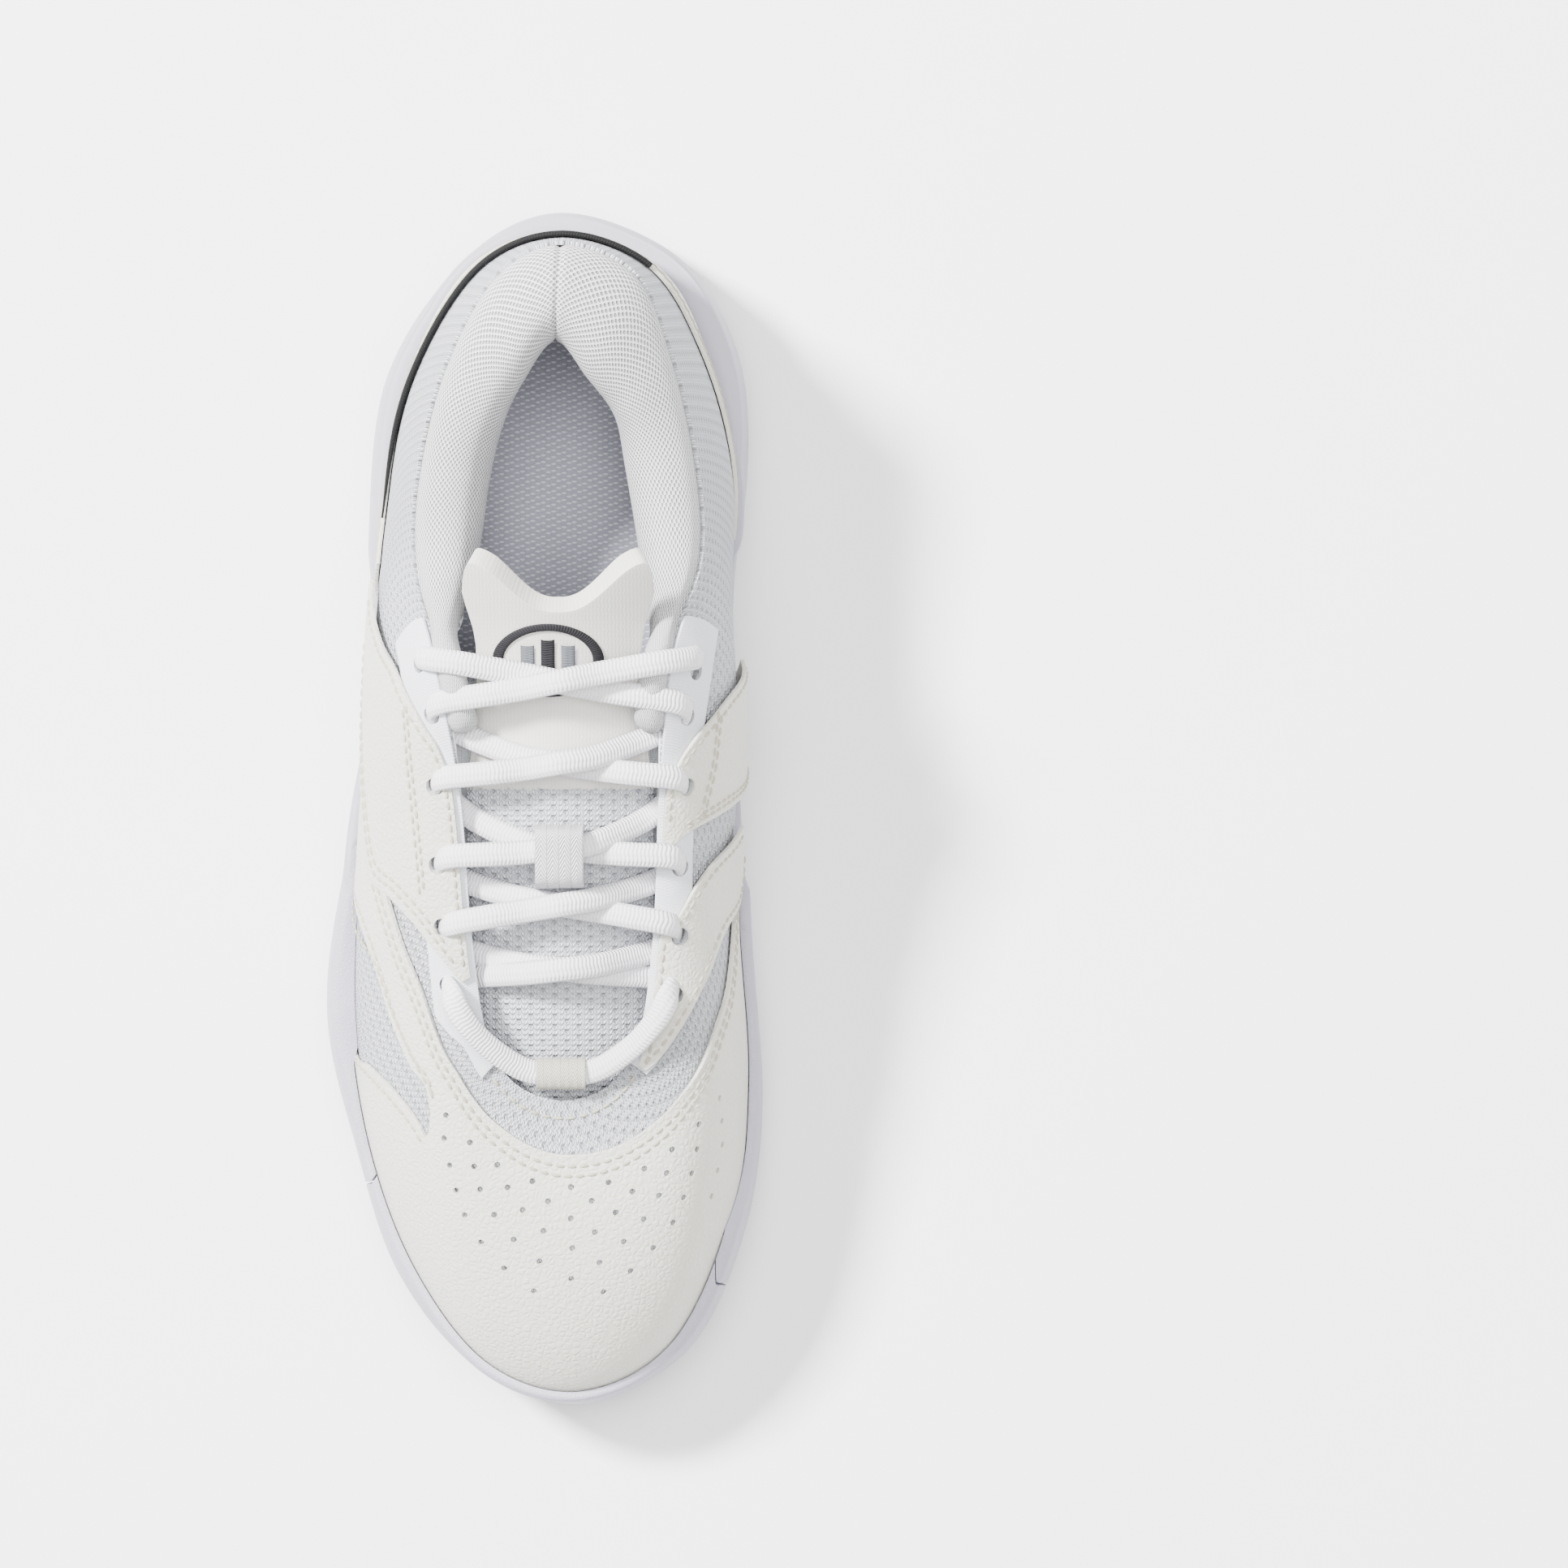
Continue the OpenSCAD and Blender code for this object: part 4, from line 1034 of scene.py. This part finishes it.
def make_leather():
    """The leather panels. The eyestays and the medial panel lie over the facings."""
    finish = leather(chosen().leather)
    dress(make_toe_overlay(), finish)
    foot = [(-4, 0.02), (4, 0.02)]
    for name, s0, s1, low, high, t, cols, rows, spots in (
            ("Medial_panel", 5.55, 8.46, MEDIAL_PANEL_LOW, MEDIAL_PANEL_HIGH, LAYER_2, 90, 24,
             EYELETS_MEDIAL[:2]),
            ("Medial_eyestay", 4.4, 6.36, MEDIAL_STAY_LOW, MEDIAL_STAY_TOP, LAYER_2, 90, 30,
             EYELETS_MEDIAL[3:4]),
            ("Lateral_eyestay", 12.64, 16.4, LATERAL_STAY_LOW, LATERAL_STAY_TOP, LAYER_2, 150, 40,
             EYELETS_LATERAL[1:4]),
            ("Heel_overlay", -3.4, 3.4, foot, HEEL_TOP, LAYER_1, 180, 40, [])):
        piece = panel(name, s0, s1, low, high, t, cols, rows, spots)
        ride_root(dress(piece, finish), name.lower())


def make_facings():
    """Cloth under the eyestays, up to the throat's edge."""
    finish = ribbed("facing_textile", chosen().mesh, 0.8, 60, 60, 0.0001, 0.94)
    high = [(4.5, 0.985), (16, 0.985)]
    for name, s0, s1, low, spots in (
            ("Medial_facing", 4.65, 8.52, MEDIAL_FACING_LOW, EYELETS_MEDIAL),
            ("Lateral_facing", 11.5, 15.35, LATERAL_FACING_LOW, EYELETS_LATERAL)):
        piece = panel(name, s0, s1, low, high, LAYER_1, 110, 24, spots)
        ride_root(dress(piece, finish), name.lower())


def make_piping():
    """Black cord on the heel panel's top edge, thinner at its medial end."""
    s = np.linspace(-3, 1, 120)
    path = lifted(s, border(HEEL_TOP)(s) + 0.018, 1.0)
    full = 0.35 + 0.65 * ease((s + 3) / 0.8)
    piece = tube_mesh("Heel_piping", path, np.tile([0.0, 0, 1], (len(s), 1)), 1.6, 1.6, 10, full)
    finish = ribbed("piping", linear(14, 14, 15), 0.7, 6, 3.8, 0.00012, 0.6)
    return ride_root(dress(piece, finish), "heel_piping")


def make_stitching():
    """Every visible row of thread, on the first or the second layer of panels."""
    inner, outer = 1.3, 2.6

    def along(pairs, shift, start, stop, lift):
        """A row beside a panel's edge, shift mm above it."""
        edge = border(pairs)
        return seam([(s, edge(s) + shift / HEIGHT) for s in np.arange(start, stop, 0.12)], lift)

    def level(height, start, stop, step, lift):
        return seam([(s, height) for s in np.arange(start, stop, step)], lift)

    def double(spots, lift, apart=1.7):
        return [seam([(s, w + k * apart / HEIGHT) for s, w in spots], lift) for k in (0, 1)]
    rows = [along(TOE_BORDER, shift, 5.9, 14.3, inner) for shift in (-2.0, -3.7)]
    rows += [
        along(TOE_BORDER, -2.0, 14.3, 16.3, inner),
        along(WINDOW_TOP, 1.9, 12.15, 14.6, inner),
        along(WINDOW_LOW, -1.9, 12.15, 13.6, inner),
        seam([(14.6, 0.16), (13.86, 0.41), (13.2, 0.52), (12.2, 0.67)], inner),
        along(LATERAL_STAY_LOW, 1.9, 12.9, 16.2, outer),
        along(LATERAL_STAY_LOW, 3.5, 13.1, 16.1, outer),
        along(LATERAL_STAY_TOP, -1.9, 14.1, 16.25, outer),
        level(0.925, 12.8, 14.1, 0.12, outer),
        along(MEDIAL_STAY_LOW, 1.9, 4.6, 6.25, outer),
        along(MEDIAL_STAY_LOW, 3.5, 4.7, 6.15, outer),
        along(MEDIAL_STAY_TOP, -1.9, 4.5, 6.2, outer),
        along(MEDIAL_PANEL_LOW, 1.9, 5.65, 8.3, outer),
        along(MEDIAL_PANEL_HIGH, -1.9, 5.65, 7.0, outer),
        level(0.925, 7.1, 8.3, 0.12, outer),
        along(HEEL_TOP, -2.2, -3.3, 3.35, inner),
        along(HEEL_TOP, -3.9, -3.2, 3.25, inner),
        level(0.945, 8.75, 11.3, 0.1, 0.1)]
    rows += double([(14.74, 0.765), (14.38, 0.75), (13.96, 0.75), (13.58, 0.75)], outer)
    rows += double([(5.3, 0.69), (5.64, 0.68), (6.0, 0.72)], outer)
    piece = stitches("Stitching", rows)
    # The thread's own cream colour, darkened as painted shade of the sunken stitch holes.
    finish = plain("thread", linear(172, 168, 150), 0.7, 3000, 0.0001, 0.2)
    return ride_root(dress(piece, finish))


# ---------------------------------------------------------------- collar and tongue

def mouth(s):
    """The foot opening's inner edge at each station, held at its ends."""
    return np.stack([np.interp(s + 6, np.arange(len(OPENING)), OPENING[:, k]) for k in (0, 1)], -1)


def beside_tongue(s):
    """0 round the heel, 1 beside the tongue."""
    return ease((np.abs(s) - 4.55) / 0.45)


def collar_path(s):
    """Points over the collar's roll; beside the tongue its inner side curls under into a narrow strip."""
    t = upper(s, 1.0)
    o = np.where((np.abs(s) > 4.9)[:, None], mouth(s), spline(OPENING, s + 6))
    m = np.concatenate([o - t[:, :2], np.zeros((len(s), 1))], 1)
    n, z = unit(m), np.array([0, 0, 1.0])
    wall = -3.9

    def on_upper(w, lift):
        return lifted(s, np.full_like(s, w), lift)
    over = [t + m * share + z * rise for share, rise in (
        (0.22, 3.4), (0.5, 4.4), (0.76, 2.6), (0.95, -3), (1, -10), (0.84, -18))]
    path = np.stack([on_upper(0.93, -1.5), t + n * 1.4 + z * 0.6, *over, on_upper(0.38, wall - 2),
                     on_upper(0.2, wall), on_upper(0.05, wall)], 1)
    strip = np.stack([on_upper(0.95, -1.0)] + [t + n * out + z * rise for out, rise in (
        (-0.6, 0.8), (0.8, 2.8), (3, 3.6), (5.4, 2.6), (6.6, -0.2), (6, -2.6), (4.4, -3.8), (3.2, -4),
        (2.6, -3.6), (2.2, -3.2))], 1)
    return path + (strip - path) * beside_tongue(s)[:, None, None]


def make_collar():
    """The collar's cloth over its padding, closed to a round end on each side of the tongue."""
    reach_round, end_share, pinch, pattern_height = 5.64, 0.011, 0.9, 105

    def place(a, b):
        s = -reach_round + 2 * reach_round * a
        path = collar_path(s)
        point = path_at(path, b)
        deep = path_at(path, np.full_like(b, 0.55)) * 0.5 + lifted(s, np.full_like(s, 0.7), -3.5) * 0.5
        centre = deep + (path.mean(1) - deep) * beside_tongue(s)[:, None]
        end = np.clip(1 - np.minimum(a, 1 - a) / end_share, 0, 1)
        point = centre + (point - centre) * (1 - 0.9 * (1 - np.sqrt(1 - end ** 2)))[:, None]
        crease = pinch * np.exp(-(s / 0.05) ** 2)
        point = point + unit(centre - point) * crease[:, None]
        return point, stack(pattern_of(s, b)[:, 0], b * pattern_height)
    piece = sheet_mesh("Collar", 380, 90, place)
    heel = Vector(upper(np.float64(0), np.float64(1)) * MM + np.array([0, -0.004, 0.004]))
    face_up(piece, min(piece.data.polygons, key=lambda f: (f.center - heel).length))
    thicken(piece, 1.0)
    dress(piece, spacer_mesh(COLLAR_WHITE))
    ride_root(piece, "collar_lining", "collar_foam")
    return piece


TONGUE_START = -82.0


def tongue_grid(u, v):
    """The tongue's face: u from side to side, v along it; its top edge is cut to a dip between two ears."""
    side = np.clip(np.abs(u), 0, 1)
    ear = 48 + 12 * ease(side / 0.88) ** 1.5 - 7 * np.clip((side - 0.86) / 0.14, 0, 1) ** 2.2
    y = TONGUE_START + (ear - TONGUE_START) * v
    return u * (tongue_half(y) + 1.4 * ease((y - 42) / 12)), y


def make_tongue():
    """The padded tongue: mesh below the seam, fine knit above it."""
    def place(a, b):
        x, y = tongue_grid(a * 2 - 1, b)
        raised = 0.5 * ease((y - 4.2) / 0.8)
        return tongue_point(x, y, raised - 0.5), stack(x, y)
    piece = sheet_mesh("Tongue", 60, 170, place)
    face_up(piece, piece.data.polygons[30 * 60 + 30])
    modify(piece, "SOLIDIFY", thickness=6.0 * MM, offset=-1, use_rim=True)
    modify(piece, "BEVEL", width=2.4 * MM, segments=5, limit_method="ANGLE", angle_limit=SHARP)
    smooth(piece, 50)
    piece.data.materials.clear()
    piece.data.materials.append(knit("tongue_mesh", chosen().mesh, 1.5, 1.3, 0.7, 0.0005))
    piece.data.materials.append(ribbed("tongue_knit", KNIT_WHITE, 0.9, 140, 140, 0.00006, 0.95))
    seam_y = 4.6 * MM
    piece.data.polygons.foreach_set("material_index", [int(f.center.y > seam_y) for f in piece.data.polygons])
    piece.data.update()
    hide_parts("tongue_mesh", "tongue_foam", "tongue_lining", "tongue_tab", "tongue_tab_foam")
    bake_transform(piece)
    return piece


def make_gussets():
    """Folded cloth from the tongue's sides to the upper's linings."""
    finish = knit("gusset_knit", chosen().mesh, 0.9, 0.8, 0.0, 0.00015)
    sides = []
    for hand, s0, s1 in ((1, 5.15, 8.6), (-1, 14.85, 11.4)):
        def place(a, b):
            s = s0 + (s1 - s0) * a
            wall = lifted(s, np.full_like(s, 0.86), -3.6)
            y = np.clip(wall[:, 1], -62, 30)
            edge = tongue_point(hand * (tongue_half(y) - 1.5), y, np.full_like(y, -4.5))
            fold = np.sin(b * np.pi)
            point = edge + (wall - edge) * b[:, None]
            point[:, 2] -= fold * 2.5
            return point, stack(a * 110, b * 14)
        sides.append(sheet_mesh("Gussets", 60, 12, place))
    for one in sides:
        thicken(one, 0.7, 0)
    return ride_root(dress(joined("Gussets", sides), finish))


def make_badge():
    """A plain embroidered oval with three bars."""
    centre_x, centre_y, rx, ry = -2.6, 36.4, 13.8, 9.0
    pieces = []

    def ring(a, b):
        turn = 2 * np.pi * a
        r = 0.8 + 0.2 * b
        x, y = centre_x + rx * r * np.cos(turn), centre_y + ry * r * np.sin(turn)
        return tongue_point(x, y, 0.35 + 0.55 * np.sin(np.pi * b) ** 0.5), stack(a * 62, b * 2)
    pieces.append(sheet_mesh("Badge", 120, 8, ring))
    for k, half in ((-1, 3.8), (0, 5.2), (1, 3.8)):
        def bar(a, b):
            x = centre_x + (a * 2 - 1) * 1.7 + k * 5
            y = centre_y + (b * 2 - 1) * half
            dome = np.clip(1 - (a * 2 - 1) ** 2, 0, 1) ** 0.5
            return tongue_point(x, y, 0.35 + 0.55 * dome), stack(b * 10, a * 3)
        pieces.append(sheet_mesh("Bar", 10, 40, bar))
    for p in pieces:
        face_up(p, p.data.polygons[len(p.data.polygons) // 2])
    black = ribbed("badge_thread", linear(34, 33, 36), 0.55, 40, 60, 0.0002, 0.5)
    grey = ribbed("badge_thread_grey", linear(105, 108, 114), 0.55, 40, 60, 0.0002, 0.6)
    for p, f in zip(pieces, (black, grey, black, grey)):
        dress(p, f)
    weld(pieces[0])
    piece = joined("Badge", pieces)
    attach(piece, "tongue_top")
    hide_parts("tongue_badge")
    return piece


def make_keepers():
    """Two webbing loops that hold the lace: one on the tongue, one on the vamp."""
    profile = np.array([
        [-0.5, 0.05], [-0.47, 0.6], [-0.36, 0.94], [0, 1], [0.36, 0.94], [0.47, 0.6], [0.5, 0.05]])
    path = through(np.column_stack([profile, np.zeros(7)]), 8)[:, :2]
    slope = float((smooth_crown(np.float64(-9.0)) - smooth_crown(np.float64(-15.0))) / 6)
    strap_half, strap_y, strap_long, strap_high = 6.3, -12.0, 16, 11.4
    band_half, band_y, band_z = 6.1, -66, 61

    def strap(a, b):
        x = (a * 2 - 1) * strap_half
        at = b * (len(path) - 1)
        along, rise = (np.interp(at, range(len(path)), path[:, k]) for k in (0, 1))
        foot = tongue_point(x, np.full_like(x, strap_y), np.full_like(x, 0.3))
        z = foot[:, 2] + along * slope * strap_long + rise * strap_high
        return stack(CENTRE + x * (1 - 0.05 * rise), foot[:, 1] + along * strap_long, z), stack(x, b * 34)
    keeper = sheet_mesh("Tongue_keeper", 28, 48, strap)
    face_up(keeper, max(keeper.data.polygons, key=lambda f: f.center.z))
    thicken(keeper, 0.9, 0.2)
    finish = herringbone("webbing", linear(226, 226, 230), 1.1, 3.1, 0.5)
    ride_root(dress(keeper, finish), "tongue_keeper")

    def band(a, b):
        turn = 2 * np.pi * b
        x = (a * 2 - 1) * band_half
        y, z = band_y + 3.9 * np.cos(turn), band_z + 3.3 * np.sin(turn)
        return stack(CENTRE + x, y, z), stack(x, b * 23)
    vamp = sheet_mesh("Vamp_keeper", 24, 40, band)
    weld(vamp)
    outwards(vamp)
    thicken(vamp, 0.8, 0.2)
    finish = herringbone("cream_webbing", linear(216, 212, 196), 1.0, 2.1, 0.55)
    ride_root(dress(vamp, finish), "vamp_keeper")


# ---------------------------------------------------------------- lace

def half_lace(hand):
    """One half of the lace, mirrored by hand; its crossings pass over and under by turns."""
    out = []
    for x, y, z, share in LACE:
        row = sum(y > c - 5 for c in CROSSINGS)
        out.append([CENTRE + hand * x, y, z + share ** 0.6 * LACE_LIFT * (1 if row % 2 == 1 else -1) * hand])
    return out


def make_lace():
    """The oval lace along its whole route; it turns flat side up where it crosses the throat."""
    wide, tall = (round(v / MM, 3) for v in (chosen().lace_width, chosen().lace_thickness))
    route = half_lace(-1)[::-1] + [[CENTRE, -66, 61]] + half_lace(1)
    path = resample(through(route, 10), 1.1)
    tangent = unit(np.gradient(path, axis=0))
    lie = ease((np.abs(tangent[:, 1:2]) - 0.75) / 0.2)
    turned = np.sign(tangent[:, 0:1] * -tangent[:, 1:2] + 1e-6)
    side = np.array([0, 1.0, 0]) * (1 - lie) + np.array([1.0, 0, 0]) * lie * turned
    side = unit(side - tangent * np.sum(side * tangent, 1, keepdims=True))
    for i in range(1, len(side)):
        if side[i] @ side[i - 1] < 0:
            side[i] = -side[i]
    for _ in range(6):
        side[1:-1] = unit(side[:-2] + side[1:-1] * 2 + side[2:])
    piece = tube_mesh("Lace", path, side, wide, tall, 16)
    dress(piece, ribbed("lace_cord", LACE_WHITE, 0.95, 9, (wide + tall) * 1.6, 0.00035, 0.9))
    ride_root(piece, "lace")
    return piece


def finish_hidden():
    """Materials of the moulded and inner parts that keep their packed shape."""
    for node, finish in (
            ("midfoot_shank", plain("shank_plate", linear(70, 70, 74), 0.4, 300, 0.00004)),
            ("strobel_board", fibre_board("board", linear(216, 203, 176))),
            ("toe_puff", fibre_board("stiffener", linear(214, 204, 182))),
            ("heel_counter", plain("counter_plastic", linear(128, 128, 132), 0.5, 500, 0.00005)),
            ("lace_tips", plain("tip_film", linear(234, 234, 238), 0.2, 500, 0.00002))):
        dress(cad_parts[node], finish)


def make_stage():
    """Floor, even light from all round, three lamps, and the camera straight above."""
    deselect()
    bpy.ops.mesh.primitive_plane_add(size=8)
    floor = bpy.context.object
    floor.name = "Floor"
    dress(floor, plain("floor", (0.92, 0.92, 0.93), 0.7, 60, 0.0, 0.1, 1.0))
    world = bpy.context.scene.world or bpy.data.worlds.new("World")
    bpy.context.scene.world = world
    world.use_nodes = True
    background = world.node_tree.nodes["Background"]
    background.inputs["Color"].default_value = (1, 1, 1, 1)
    background.inputs["Strength"].default_value = WORLD_STRENGTH
    for name, place, aim, size, power in LIGHTS:
        bpy.ops.object.light_add(type="AREA", location=place)
        light = bpy.context.object
        light.name = name
        light.data.size = size
        light.data.energy = power
        light.rotation_euler = (Vector(aim) - Vector(place)).to_track_quat("-Z", "Y").to_euler()
    bpy.ops.object.camera_add(location=(0.0604, 0.0059, 3.0), rotation=(0, 0, 0))
    camera = bpy.context.object
    camera.data.lens = 271.8
    camera.data.sensor_width = 36
    camera.data.clip_end = 20
    bpy.context.scene.camera = camera


# ---------------------------------------------------------------- operators

class ShoeSettings(bpy.types.PropertyGroup):
    """Sizes and colours to change before a piece is made."""
    lace_width: bpy.props.FloatProperty(
        name="Lace width", description="Width of the oval lace", default=0.006, unit="LENGTH")
    lace_thickness: bpy.props.FloatProperty(
        name="Lace thickness", description="Thickness of the oval lace", default=0.0036, unit="LENGTH")
    leather: bpy.props.FloatVectorProperty(
        name="Leather", description="Colour of the leather panels", default=LEATHER, subtype="COLOR")
    mesh: bpy.props.FloatVectorProperty(
        name="Mesh", description="Colour of the mesh and facings", default=MESH_WHITE, subtype="COLOR")
    rubber: bpy.props.FloatVectorProperty(
        name="Rubber", description="Colour of the outsole and midsole", default=RUBBER, subtype="COLOR")


def operator(name, label, doc, work):
    """An operator that makes one piece or one group of pieces."""
    def execute(self, context):
        work()
        return {"FINISHED"}
    return type("SHOE_OT_" + name, (bpy.types.Operator,), {
        "bl_idname": "shoe." + name, "bl_label": label, "__doc__": doc, "execute": execute})


STEPS = [
    ("outsole", "Outsole", "Rubber outsole with its herringbone tread", make_outsole),
    ("midsole", "Midsole", "Foam midsole", make_midsole),
    ("wraps", "Rubber walls", "Toe guard and side walls", make_wraps),
    ("insole", "Insole", "Insole foam and its fabric", make_insole_cover),
    ("linings", "Linings", "Linings of the vamp and the quarters", make_linings),
    ("meshes", "Meshes", "Knitted mesh of the vamp and the quarters", make_meshes),
    ("facings", "Facings", "Textile under the eyestays", make_facings),
    ("leather", "Leather panels", "Toe overlay, eyestays, medial panel and heel panel", make_leather),
    ("piping", "Piping", "Black edge of the heel panel", make_piping),
    ("stitching", "Stitching", "Stitch rows on the panels", make_stitching),
    ("collar", "Collar", "Padded collar and its lining", make_collar),
    ("tongue", "Tongue", "Padded tongue", make_tongue),
    ("gussets", "Gussets", "Cloth between the tongue and the upper", make_gussets),
    ("badge", "Badge", "Embroidered badge of the tongue", make_badge),
    ("keepers", "Lace keepers", "Webbing loops on the tongue and the vamp", make_keepers),
    ("lace", "Lace", "The lace", make_lace),
    ("hidden", "Inner parts", "Finishes of the inner parts", finish_hidden),
    ("stage", "Stage", "Floor, lights and camera", make_stage),
]
OPERATORS = [operator(*step) for step in STEPS]


class SHOE_PT_panel(bpy.types.Panel):
    bl_label = "Court Shoe"
    bl_idname = "SHOE_PT_panel"
    bl_space_type = "VIEW_3D"
    bl_region_type = "UI"
    bl_category = "Court Shoe"

    def draw(self, context):
        for key in ("lace_width", "lace_thickness", "leather", "mesh", "rubber"):
            self.layout.prop(context.scene.shoe, key)
        for cls in OPERATORS:
            self.layout.operator(cls.bl_idname)


CLASSES = [ShoeSettings] + OPERATORS + [SHOE_PT_panel]


def register():
    for cls in CLASSES:
        bpy.utils.register_class(cls)
    bpy.types.Scene.shoe = bpy.props.PointerProperty(type=ShoeSettings)


def unregister():
    del bpy.types.Scene.shoe
    for cls in reversed(CLASSES):
        bpy.utils.unregister_class(cls)


def main():
    register()
    for name, *_ in STEPS:
        getattr(bpy.ops.shoe, name)()


if __name__ == "__main__":
    main()
